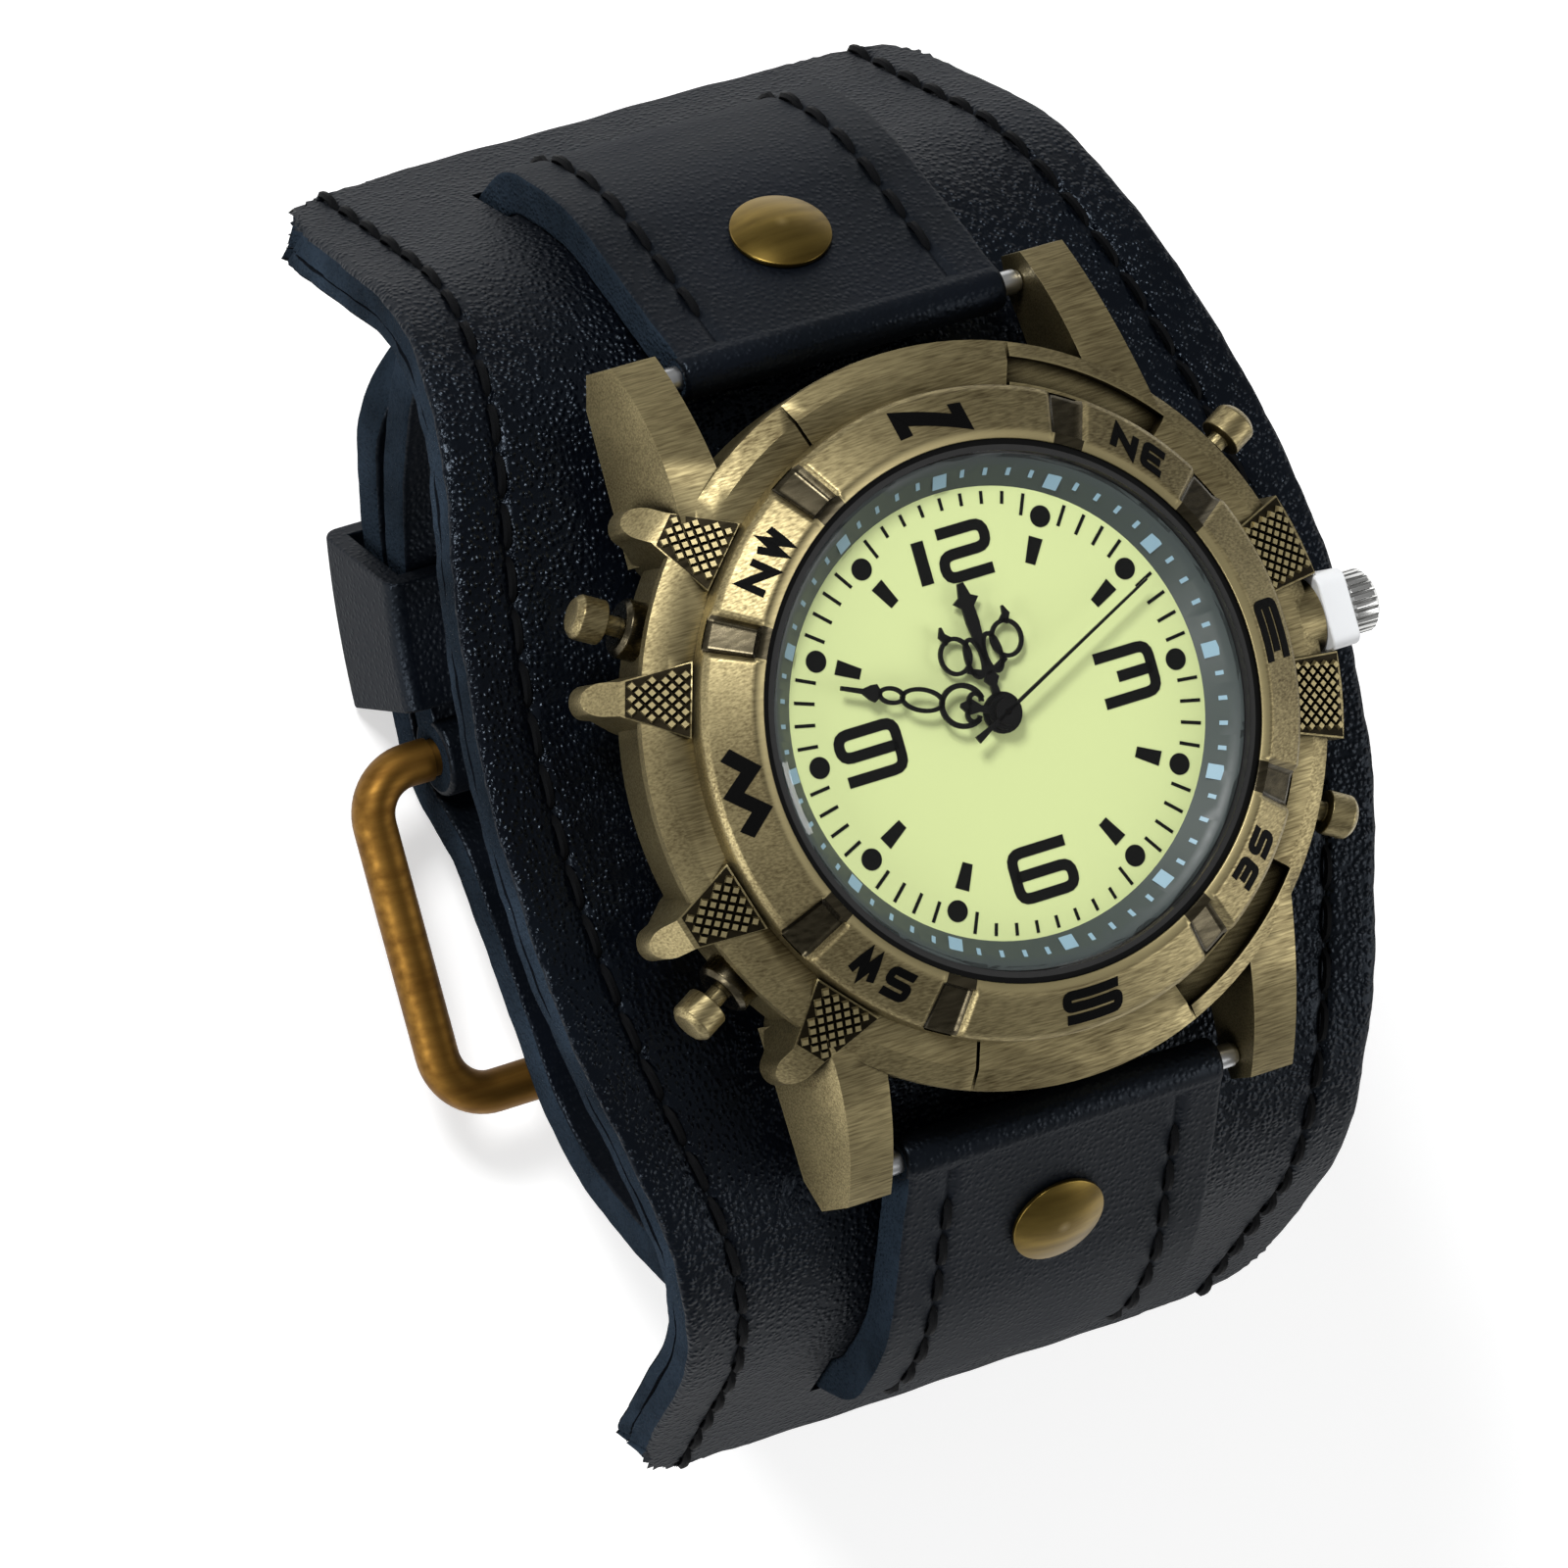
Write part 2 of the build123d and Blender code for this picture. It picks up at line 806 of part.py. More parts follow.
def case_back():
    return turned([
        (0, body_base),
        (rim_inner, body_base),
        (rim_inner, body_base + rim_height),
        (rim_outer, body_base + rim_height),
        (rim_outer, body_base),
        (back_radius, body_base),
        (back_radius, back_base + back_chamfer),
        (back_radius - back_chamfer, back_base),
        (0, back_base),
    ])


def back_gasket():
    return ring(case_bore - lay_gap / 2, rim_outer, body_base, body_base + gasket_height)


def movement_holder():
    """Plastic ring that centres the movement in the case and carries the dial."""
    body = ring(holder_outer, holder_bore, holder_base, dial_base)
    return body - rod(holder_bore - overrun, holder_outer + overrun, stem_radius + groove_depth)


def spring_bars():
    """Two spring bars, each with a shoulder and a thin tip at both ends."""
    half = lug_gap_half - run_gap
    bar = Cylinder(bar_radius, 2 * (half - bar_shoulder))
    bar += Cylinder(bar_tip_radius, 2 * (half + bar_tip_length))
    for side in (-1, 1):
        bar += Pos(0, 0, side * (half - bar_shoulder)) * Cylinder(bar_radius - bar_shoulder / 2, 2 * bar_shoulder)
    bar = Pos(0, bar_y, bar_height) * Rot(0, 90, 0) * bar
    return [bar, mirror(bar, Plane.XZ)]


def crown_tube():
    return rod(tube_start, boss_end, tube_radius) - rod(tube_start - overrun, boss_end + overrun, tube_bore)


def crown():
    """Fluted crown with a chamfered end."""
    body = Cylinder(crown_radius, crown_length)
    body = chamfer(body.edges().filter_by(GeomType.CIRCLE), crown_chamfer)
    flute_radius = math.pi * crown_radius / crown_flutes / 2
    flute_place = crown_radius + flute_radius - crown_flute_depth
    for number in range(crown_flutes):
        x, y = polar(flute_place, number * 360 / crown_flutes)
        body -= Pos(x, y, 0) * Cylinder(flute_radius, crown_length + overrun)
    bore_length = crown_length / 2
    body -= Pos(0, 0, -bore_length / 2) * Cylinder(stem_radius, bore_length)
    return Pos(crown_start + crown_length / 2, 0, stem_height) * Rot(0, 90, 0) * body


def stem():
    body = rod(stem_start, crown_start + crown_length / 2, stem_radius)
    groove_x = (lever_left + lever_right) / 2
    collar = rod(groove_x - stem_groove_half, groove_x + stem_groove_half, stem_radius + overrun)
    return body - (collar - rod(groove_x - stem_groove_half, groove_x + stem_groove_half, stem_radius - stem_groove))


def sliding_pinion():
    """Setting pinion on the stem, with face teeth that turn the setting wheel."""
    start = clutch_end
    body = rod(start, start + clutch_length, clutch_radius)
    waist = start + clutch_length / 2
    collar = rod(waist - clutch_groove / 2, waist + clutch_groove / 2, clutch_radius + overrun)
    body -= collar - rod(waist - clutch_groove / 2, waist + clutch_groove / 2, clutch_groove_radius)
    tooth = block(
        start - clutch_tooth_length,
        start + clutch_tooth_length,
        -clutch_tooth_width / 2,
        clutch_tooth_width / 2,
        stem_height + clutch_tooth_root,
        stem_height + clutch_radius,
    )
    axis = Axis((0, 0, stem_height), (1, 0, 0))
    for number in range(clutch_teeth):
        body += tooth.rotate(axis, number * 360 / clutch_teeth)
    return body - rod(start - overrun, start + clutch_length + overrun, stem_radius)


def crown_stopper():
    """Plastic clip between case and crown, open below so that it pulls off upwards."""
    face = RectangleRounded(2 * clip_half, 2 * clip_half, clip_corner)
    start = boss_end + clip_gap
    body = extrude(Plane.YZ * face, amount=clip_thickness)
    slot = Plane.YZ * (Pos(0, -clip_half / 2) * Rectangle(2 * clip_slot_half, clip_half))
    slot += Plane.YZ * Circle(clip_slot_half)
    slot += Plane.YZ * (Pos(0, -clip_half) * Rectangle(2 * clip_slot_half, clip_half))
    body -= extrude(slot, amount=clip_thickness)
    return Pos(start, 0, stem_height) * body


def pusher(angle):
    """Pusher with a domed head, a thin waist and a shaft through the case wall."""
    head_start = sleeve_end + pusher_travel + 2 * lay_gap
    head_end = head_start + pusher_head_length
    head = lying_disc(pusher_head, head_start, head_end)
    head = chamfer(head.edges().filter_by(GeomType.CIRCLE).sort_by(Axis.Z)[-1], pusher_head_edge)
    body = head + lying_disc(pusher_shaft, pusher_shaft_start, head_start + overrun)
    return on_pusher_axis(body, angle)


def pusher_sleeve(angle):
    body = lying_disc(sleeve_radius, sleeve_start, sleeve_end)
    body = chamfer(body.edges().filter_by(GeomType.CIRCLE).sort_by(Axis.Z)[-1], sleeve_chamfer)
    return on_pusher_axis(body - lying_disc(pusher_shaft + run_gap, sleeve_start - overrun, sleeve_end + overrun), angle)


# Trails of the leather parts, drawn on the 12 o'clock side
cuff_start = (0, cuff_top, 0)
cuff_steps = [(arch_radius, arch_angle), (shoulder_radius, shoulder_angle), (skirt_length, 0)]
shoulder_place = step_on(cuff_start, arch_radius, arch_angle)
shoulder_middle = aside(shoulder_place, -shoulder_radius)[1:]
strap_bend = shoulder_radius + strap_lift
bar_reach = math.dist((bar_y, bar_height), shoulder_middle)
bar_lean = math.degrees(math.atan2(bar_y - shoulder_middle[0], bar_height - shoulder_middle[1]))
strap_heading = bar_lean + math.degrees(math.acos(strap_bend / bar_reach))
strap_start = (bar_y, bar_height, strap_heading)
strap_steps = [
    (math.sqrt(bar_reach**2 - strap_bend**2), 0),
    (strap_bend, arch_angle + shoulder_angle - strap_heading),
    (free_run, 0),
    (dive_radius, dive_angle),
    (dive_run, 0),
]
strap_exit = follow(strap_start, strap_steps)
heel_wrap = heel_bar_radius + run_gap + wrap_leather
upper_end = (heel_y + heel_wrap, heel_height, upper_end_heading)
upper_bends = two_bends(strap_exit, upper_split_heading, upper_end)
upper_steps = strap_steps + upper_bends

# Trail of the tail, drawn with 6 o'clock turned to +Y
front_rise = frame_wire_radius + lay_gap + strap_half
front_place = (*aside((-front_y, front_height, front_heading), -front_rise)[1:], front_heading)
tail_land_radius = heel_wrap + lay_gap + strap_half
heel_place = (-heel_y, heel_height, tail_lift_heading)
lift_end = aside(heel_place, tail_land_radius)[1:]


def tail_runs():
    """Lengths of the straight run past the front bar and of the steep run up to the heel bar."""
    bend_end = step_on((0, 0, front_heading), tail_lift_radius, tail_lift_heading - front_heading)
    gap_y = lift_end[0] - front_place[0] - bend_end[0]
    gap_z = lift_end[1] - front_place[1] - bend_end[1]
    a, b = math.cos(math.radians(front_heading)), math.cos(math.radians(tail_lift_heading))
    c, d = -math.sin(math.radians(front_heading)), -math.sin(math.radians(tail_lift_heading))
    scale = a * d - b * c
    return (gap_y * d - gap_z * b) / scale, (gap_z * a - gap_y * c) / scale


front_run, lift_run = tail_runs()
lower_steps = strap_steps + two_bends(strap_exit, lower_split_heading, front_place)
lower_steps += [
    (front_run, 0),
    (tail_lift_radius, tail_lift_heading - front_heading),
    (lift_run, 0),
    (tail_land_radius, tail_land_heading - tail_lift_heading),
    (tail_ease_radius, tail_ease_angle),
    (upper_bends[1][0] + strap_thickness + lay_gap, 360 - upper_split_heading - tail_land_heading - tail_ease_angle),
    (upper_bends[0][0] + strap_thickness + lay_gap, tail_rest_angle),
]


def cuff_outline():
    """Plan of the cuff: bowed sides that ease into narrower ends with round corners."""
    tangent = math.asin(cuff_side_y / cuff_side_radius)
    side_x = cuff_half_width - cuff_side_radius * (1 - math.cos(tangent))
    line_x = side_x - (cuff_line_y - cuff_side_y) * math.tan(tangent)
    end_y = follow(cuff_start, cuff_steps)[0]
    turn = math.asin(math.sin(tangent) - (end_y - cuff_line_y) / cuff_waist_radius)
    end_x = line_x - cuff_waist_radius * (math.cos(turn) - math.cos(tangent))
    middle = (tangent + turn) / 2
    mid_y = cuff_line_y + cuff_waist_radius * (math.sin(tangent) - math.sin(middle))
    mid_x = line_x - cuff_waist_radius * (math.cos(middle) - math.cos(tangent))
    half = tangent / 2
    bow = (cuff_half_width - cuff_side_radius * (1 - math.cos(half)), cuff_side_radius * math.sin(half))
    quarter = make_face([
        ThreePointArc((cuff_half_width, 0), bow, (side_x, cuff_side_y)),
        Line((side_x, cuff_side_y), (line_x, cuff_line_y)),
        ThreePointArc((line_x, cuff_line_y), (mid_x, mid_y), (end_x, end_y)),
        Line((end_x, end_y), (0, end_y)),
        Line((0, end_y), (0, 0)),
        Line((0, 0), (cuff_half_width, 0)),
    ])
    corner = [vertex for vertex in quarter.vertices() if vertex.X > overrun and vertex.Y > end_y - overrun]
    return fillet(corner, cuff_corner)


def cuff_layer(inside, outside):
    """One layer of the cuff, cut to its plan and slotted for both straps."""
    profile = band(cuff_start, cuff_steps, inside, outside)
    quarter = cuff_outline()
    column = Pos(0, 0, heel_height) * extrude(quarter, amount=-heel_height)
    half_column = column + mirror(column, Plane.YZ)
    side = across(profile, cuff_half_width + overrun) & half_column
    slot = across(
        band(strap_start, strap_steps, -strap_half - slot_face_gap, strap_half + slot_face_gap),
        strap_half_width + slot_side_gap,
    )
    below = follow(cuff_start, cuff_steps[:2])
    near = below[0] - cuff_thickness
    slot &= block(-cuff_half_width, cuff_half_width, near, below[0] + skirt_length, heel_height, below[1])
    side -= slot
    side -= on_rivet_axis(disc(rivet_post_radius + lay_gap, -rivet_grip - overrun, overrun))
    side -= on_rivet_axis(disc(rivet_foot_radius + lay_gap, -rivet_grip - strap_thickness, -rivet_grip + lay_gap))
    return side + mirror(side, Plane.XZ)


def on_rivet_axis(shape):
    """Lays a shape drawn along Z on the rivet's axis, heights counted from the strap's middle."""
    y, z, heading = step_on(strap_start, rivet_run, 0)
    return Pos(0, y, z) * Rot(-heading, 0, 0) * shape


def rivet_caps():
    """Rivet heads with their posts, one on each strap."""
    seat = strap_half + lay_gap
    edge = seat + rivet_cap_edge
    rise = rivet_cap_height - rivet_cap_edge
    dome_radius = (rivet_cap_radius**2 + rise**2) / (2 * rise)
    dome = Pos(0, 0, edge + rise - dome_radius) * Sphere(dome_radius)
    dome &= disc(rivet_cap_radius, edge, edge + rivet_cap_height)
    head = disc(rivet_cap_radius, seat, edge) + dome
    head = on_rivet_axis(head + disc(rivet_post_radius, -rivet_grip, seat + rivet_cap_edge / 2))
    return [head, mirror(head, Plane.XZ)]


def rivet_feet():
    """Flat back plates that the rivet posts are set into, sunk in the lining."""
    foot = on_rivet_axis(disc(rivet_foot_radius, -rivet_grip - rivet_foot_height, -rivet_grip))
    return [foot, mirror(foot, Plane.XZ)]


def bar_loop():
    """Bead of leather folded round a spring bar."""
    return Pos(0, bar_y, bar_height) * Rot(0, 90, 0) * Cylinder(bar_wrap_radius, 2 * strap_half_width)


def strap_upper():
    """Buckle strap: from the 12 o'clock bar over the cuff, through it and round to the heel bar."""
    body = across(band(strap_start, upper_steps, -strap_half, strap_half), strap_half_width)
    body += bar_loop()
    heel = Pos(0, heel_y, heel_height) * Rot(0, 90, 0) * Cylinder(heel_wrap, 2 * strap_half_width)
    heel_root = [(heel_wrap, 0)]
    body += heel
    body += across(band(upper_end, heel_root, -strap_half, strap_half), strap_half_width)
    bar_bore = Pos(0, heel_y, heel_height) * Rot(0, 90, 0) * Cylinder(heel_bar_radius + run_gap, 2 * strap_half_width)
    body -= bar_bore
    slot_reach = tongue_eye_radius + 2 * lay_gap
    body -= block(
        -tongue_slot_half,
        tongue_slot_half,
        heel_y - heel_wrap - overrun,
        heel_y + slot_reach,
        heel_height - heel_wrap - overrun,
        heel_height + heel_wrap + overrun,
    )
    return strap_holes(body)


def strap_holes(body):
    """Bores for the spring bar and the rivet."""
    body -= Pos(0, bar_y, bar_height) * Rot(0, 90, 0) * Cylinder(bar_radius + lay_gap, 2 * lug_gap_half)
    return body - on_rivet_axis(disc(rivet_post_radius + lay_gap, -strap_thickness, strap_thickness))


def tongue_line():
    """Start and end of the tongue: from the heel bar to just past the front bar."""
    rest = frame_wire_radius + tongue_radius + lay_gap / 2
    tilt = math.atan2(front_height - heel_height, front_y - heel_y)
    end = (front_y + rest * math.sin(tilt), front_height - rest * abs(math.cos(tilt)))
    reach = math.dist((heel_y, heel_height), end)
    share = (reach + tongue_overhang) / reach
    return heel_y + (end[0] - heel_y) * share, heel_height + (end[1] - heel_height) * share


def tongue_rod(radius, swing):
    """Round bar from the heel bar's axis to the tongue's tip, swung outwards by an angle."""
    end_y, end_z = tongue_line()
    length = math.dist((heel_y, heel_height), (end_y, end_z))
    drop = math.degrees(math.atan2(heel_height - end_z, heel_y - end_y))
    bar = Pos(0, 0, length / 2) * Cylinder(radius, length)
    return Pos(0, heel_y, heel_height) * Rot(90 + drop + swing, 0, 0) * bar


def strap_lower():
    """Tail strap: from the 6 o'clock bar through the buckle and the keeper to its rounded tip."""
    body = across(band(strap_start, lower_steps, -strap_half, strap_half), strap_half_width)
    body += bar_loop()
    body = strap_holes(body)
    body = mirror(body, Plane.XZ)
    for swing in (0, tongue_swing / 2, tongue_swing):
        body -= tongue_rod(tongue_radius + 2 * lay_gap, swing)
    tip = sum(run_length(size, turn) for size, turn in lower_steps) - strap_half_width
    body -= on_tail(tip_cutter(), place_along(strap_start, lower_steps, tip))
    for number in range(1, tail_hole_count + 1):
        spot = place_along(strap_start, lower_steps, tip - number * tail_hole_pitch)
        body -= on_tail(Cylinder(tail_hole_radius, 2 * strap_thickness), spot)
    return body


def on_tail(shape, place):
    """Lays a shape drawn flat, its +Y towards the tip, on the tail at a place of the trail."""
    y, z, heading = place
    return Pos(0, -y, z) * Rot(heading - 180, 0, 0) * shape


def tip_cutter():
    """Leather that falls away beside the tail's round tip."""
    side = strap_half_width + overrun
    corners = block(-side, side, 0, 2 * side, -strap_thickness, strap_thickness)
    return corners - Cylinder(strap_half_width, 2 * strap_thickness + overrun)


def keeper():
    """Leather loop that holds the tail flat on the buckle strap, bent along with the straps."""
    radius = upper_bends[1][0]
    bend_start = follow(strap_exit, upper_bends[:1])
    half_turn = math.degrees(keeper_length / 2 / radius)
    inside = -strap_half - keeper_face_gap
    outside = strap_half + lay_gap + strap_thickness + keeper_slack
    half_width = strap_half_width + keeper_side_gap
    loops = []
    for wall, extra in ((keeper_wall, 0), (0, half_turn)):
        first = keeper_heading - half_turn - extra
        place = along_bend(bend_start, radius, first)
        face = band(place, [(radius, 2 * (half_turn + extra))], inside - wall, outside + wall)
        loops.append(across(face, half_width + wall))
    outer, inner = loops
    edges = outer.edges().filter_by(GeomType.CIRCLE)
    return fillet(edges, keeper_corner) - inner


def frame_path(half_width):
    """Rounded rectangle through the heel bar's and the front bar's axes, drawn flat about its centre."""
    length = math.dist((heel_y, heel_height), (front_y, front_height))
    return length, RectangleRounded(2 * half_width, length, frame_corner)


def buckle_frame():
    """Bent-wire frame whose heel bar carries the strap and the tongue."""
    half_width = frame_half_width + frame_wire_radius / 2
    length, outline = frame_path(half_width)
    path = outline.face().outer_wire()
    start = path @ 0
    section = Plane(origin=start, z_dir=path % 0) * Circle(frame_wire_radius)
    wire = sweep(section, path=path)
    inner = half_width - frame_wire_radius
    thin = ring(frame_wire_radius + overrun, heel_bar_radius, -strap_half_width - slot_side_gap, strap_half_width + slot_side_gap)
    wire -= Pos(0, length / 2, 0) * Rot(0, 90, 0) * thin
    tilt = math.degrees(math.atan2(heel_height - front_height, heel_y - front_y))
    middle = Pos(0, (heel_y + front_y) / 2, (heel_height + front_height) / 2)
    return middle * Rot(tilt, 0, 0) * wire


def buckle_tongue():
    """Tongue with its eye round the heel bar."""
    body = Pos(0, heel_y, heel_height) * Rot(0, 90, 0) * Cylinder(tongue_eye_radius, 2 * tongue_half_width)
    body += tongue_rod(tongue_radius, 0)
    end_y, end_z = tongue_line()
    body += Pos(0, end_y, end_z) * Sphere(tongue_radius)
    return body - Pos(0, heel_y, heel_height) * Rot(0, 90, 0) * Cylinder(heel_bar_radius + run_gap, 4 * tongue_half_width)


def at(place, shape):
    return Pos(place[0], place[1], 0) * shape


def main_plate():
    """Plate with the dial-side recess, pivot holes, pillars, a stud and the stem bearing."""
    body = disc(plate_radius, plate_base, plate_top)
    recesses = (
        (centre_place, tooth_radii(hour_wheel_teeth, hour_module)[1]),
        (minute_wheel_place, tooth_radii(minute_wheel_teeth, motion_module)[1]),
        (setting_place, tooth_radii(setting_teeth, motion_module)[1]),
    )
    for place, radius in recesses:
        body -= at(place, disc(radius + leaf_margin, recess_floor, plate_top + overrun))
    body -= disc(cannon_pipe + leaf_margin, plate_base - overrun, plate_top)
    body -= at(setting_place, disc(2 * arbor_radius + run_gap, plate_base - overrun, plate_top))
    body += at(minute_wheel_place, disc(2 * arbor_radius, recess_floor - recess_depth / 4, hour_wheel_low + wheel_thickness))
    for place in pillar_places:
        body += at(place, disc(pillar_radius, bridge_top, plate_base))
        body -= at(place, disc(screw_radius, bridge_top - overrun, plate_base))
    bearing = block(bearing_left, plate_radius - lay_gap, -bearing_half, bearing_half, stem_height - bearing_half, plate_base)
    body += bearing & disc(plate_radius, stem_height - bearing_half, plate_base)
    body -= rod(bearing_left - overrun, plate_radius + overrun, stem_radius + run_gap)
    for place in (third_place, fifth_place, rotor_place):
        body -= at(place, disc(pivot_radius + pivot_gap, plate_base - overrun, plate_base + pivot_length + arbor_end_gap))
    return body


def train_bridge():
    """Bridge over the wheels, on three pillars."""
    places = [centre_place, third_place, fifth_place, rotor_place, *pillar_places]
    edges = []
    for x, y in places:
        edges += (Pos(x, y) * Circle(bridge_margin)).edges()
    body = Pos(0, 0, bridge_base) * extrude(make_hull(edges), amount=bridge_thickness)
    for place in (centre_place, third_place, fifth_place, rotor_place):
        body -= at(place, disc(pivot_radius + pivot_gap, bridge_base - overrun, bridge_top + overrun))
    for place in pillar_places:
        body -= at(place, disc(screw_radius + run_gap, bridge_base - overrun, bridge_top + overrun))
    return body


def bridge_screws():
    """Three slotted screws; the last one also holds the battery clamp."""
    screws = []
    for number, place in enumerate(pillar_places):
        seat = bridge_base - (clamp_thickness + lay_gap if number == len(pillar_places) - 1 else 0)
        head = disc(screw_head_radius, seat - screw_head_height, seat)
        head += disc(screw_radius - run_gap / 2, seat, plate_base - pivot_length)
        slot = block(
            -screw_head_radius - overrun,
            screw_head_radius + overrun,
            -screw_slot_width / 2,
            screw_slot_width / 2,
            seat - screw_head_height - overrun,
            seat - screw_head_height + screw_slot_depth,
        )
        screws.append(at(place, head - slot))
    return screws


def arbor(top, bottom):
    """Arbor between plate and bridge, with a thin pivot at each end."""
    return disc(arbor_radius, bottom, top) + disc(pivot_radius, bottom - pivot_length, top + pivot_length)


train_top = plate_base - arbor_end_gap
train_bottom = bridge_top + arbor_end_gap
seconds_to_third = third_angle
third_phase = seconds_to_third + 180
seconds_pinion_phase = meshed_phase(third_phase, third_teeth, seconds_leaves, third_angle + 180)
centre_phase = meshed_phase(third_angle + 180, third_leaves, centre_teeth, third_angle + 180)
seconds_wheel_phase = fifth_angle
fifth_pinion_phase = meshed_phase(seconds_wheel_phase, seconds_teeth, fifth_leaves, fifth_angle)
fifth_wheel_phase = rotor_angle
rotor_phase = meshed_phase(fifth_wheel_phase, fifth_teeth, rotor_leaves, rotor_angle)
minute_wheel_phase = direction_of(minute_wheel_place, centre_place)
cannon_phase = meshed_phase(
    minute_wheel_phase, minute_wheel_teeth, cannon_leaves, direction_of(minute_wheel_place, centre_place)
)
hour_phase = meshed_phase(
    minute_wheel_phase, minute_pinion_leaves, hour_wheel_teeth, direction_of(minute_wheel_place, centre_place)
)
setting_upper_phase = meshed_phase(
    minute_wheel_phase, minute_wheel_teeth, setting_teeth, direction_of(minute_wheel_place, setting_place)
)
setting_lower_phase = 180 / setting_teeth


def third_wheel():
    body = gear(third_teeth, third_module, third_low, third_low + wheel_thickness, third_phase)
    body += gear(third_leaves, centre_module, centre_low - leaf_margin, train_top - leaf_margin, third_angle + 180)
    return at(third_place, body + arbor(train_top, train_bottom))


def fifth_wheel():
    body = gear(fifth_teeth, fifth_module, fifth_low, fifth_low + wheel_thickness * 3 / 4, fifth_wheel_phase)
    leaf_top = seconds_wheel_low + wheel_thickness + leaf_margin
    body += gear(fifth_leaves, seconds_module, seconds_wheel_low - leaf_margin, leaf_top, fifth_pinion_phase)
    return at(fifth_place, body + arbor(train_top, train_bottom))


def rotor():
    """Magnet rotor of the stepping motor, with its pinion."""
    body = disc(magnet_radius, magnet_low, magnet_low + magnet_height)
    body += gear(rotor_leaves, fifth_module, train_bottom, fifth_low + wheel_thickness + leaf_margin, rotor_phase)
    return at(rotor_place, body + arbor(train_top, train_bottom))


def seconds_wheel():
    """Fourth wheel: its long arbor carries the second hand."""
    low = seconds_wheel_low
    body = gear(seconds_teeth, seconds_module, low, low + wheel_thickness, seconds_wheel_phase)
    body += gear(
        seconds_leaves,
        third_module,
        third_low - leaf_margin,
        third_low + wheel_thickness + leaf_margin,
        seconds_pinion_phase,
    )
    body += disc(seconds_arbor, train_bottom, second_hand_base + hand_thickness)
    return body + disc(pivot_radius, train_bottom - pivot_length, train_bottom)


def centre_wheel():
    body = gear(centre_teeth, centre_module, centre_low, centre_low + wheel_thickness, centre_phase)
    body += disc(centre_hub, cannon_foot + leaf_margin, train_top)
    return body - disc(cannon_pipe + run_gap, cannon_foot - overrun, plate_base)


def cannon_pinion():
    """Tube that carries the minute hand, with the leaves that drive the minute wheel."""
    body = gear(cannon_leaves, motion_module, motion_low, motion_low + wheel_thickness + leaf_margin, cannon_phase)
    body += disc(cannon_pipe, cannon_foot, minute_hand_base + hand_thickness)
    return body - disc(seconds_arbor + run_gap, cannon_foot - overrun, minute_hand_base + overrun)


def hour_wheel():
    low = hour_wheel_low
    body = gear(hour_wheel_teeth, hour_module, low, low + wheel_thickness, hour_phase)
    body += disc(hour_pipe, low, hour_hand_base + hand_thickness)
    return body - disc(cannon_pipe + run_gap, low - overrun, hour_hand_base + overrun)


def minute_wheel():
    body = gear(minute_wheel_teeth, motion_module, motion_low, motion_low + wheel_thickness, minute_wheel_phase)
    pinion_low = motion_low + wheel_thickness
    pinion_high = hour_wheel_low + wheel_thickness + leaf_margin
    body += gear(minute_pinion_leaves, hour_module, pinion_low, pinion_high, minute_wheel_phase)
    return at(minute_wheel_place, body - disc(2 * arbor_radius + run_gap, motion_low - overrun, pinion_high + overrun))


def setting_wheel():
    """Intermediate wheel: upper teeth turn the minute wheel, lower teeth meet the stem's pinion."""
    body = gear(setting_teeth, motion_module, motion_low, motion_low + wheel_thickness, setting_upper_phase)
    body += gear(setting_teeth, clutch_module, setting_low, setting_low + wheel_thickness, setting_lower_phase)
    return at(setting_place, body + disc(2 * arbor_radius, setting_low, motion_low))


def stator():
    """Laminated stator: a ring round the rotor and two legs down to the coil core."""
    high = stator_low + stator_thickness
    left, right = coil_left - core_reach, coil_right + core_reach
    body = at(rotor_place, disc(stator_ring, stator_low, high))
    body += block(left, right, stator_bar_y - stator_bar_half, stator_bar_y + stator_bar_half, stator_low, high)
    for x_low, x_high in ((left, left + 2 * leg_half), (right - 2 * leg_half, right)):
        body += block(x_low, x_high, coil_y - core_half, stator_bar_y, stator_low, high)
    return body - at(rotor_place, disc(stator_bore, stator_low - overrun, high + overrun))


def coil_core():
    low = stator_low - stator_thickness
    return block(coil_left - core_reach, coil_right + core_reach, coil_y - core_half, coil_y + core_half, low, stator_low)


def coil():
    """Copper winding round the core."""
    body = block(coil_left, coil_right, coil_y - coil_half, coil_y + coil_half, coil_mid - coil_half, coil_mid + coil_half)
    body = fillet(body.edges().filter_by(Axis.X), coil_half / 2)
    low = stator_low - stator_thickness
    window = block(
        coil_left - overrun, coil_right + overrun, coil_y - core_half, coil_y + core_half, low, stator_low
    )
    return body - window


def circuit_board():
    low = board_top - board_thickness
    board = block(board_left, board_right, board_near, board_far, low, board_top)
    board = fillet(board.edges().filter_by(Axis.Z), board_corner)
    chip = Pos((board_left + coil_left) / 2 + chip_radius, coil_y, 0) * disc(chip_radius, low - chip_height, low)
    return board + chip


def quartz_can():
    low = board_top - board_thickness
    place = Pos(can_x, can_y, low - can_radius)
    return place * Rot(0, 90, 0) * Cylinder(can_radius, can_length)


def battery():
    body = disc(battery_radius, battery_top - battery_height, battery_top)
    body = chamfer(body.edges().filter_by(GeomType.CIRCLE).sort_by(Axis.Z)[0], battery_edge)
    return at((battery_x, battery_y), body)


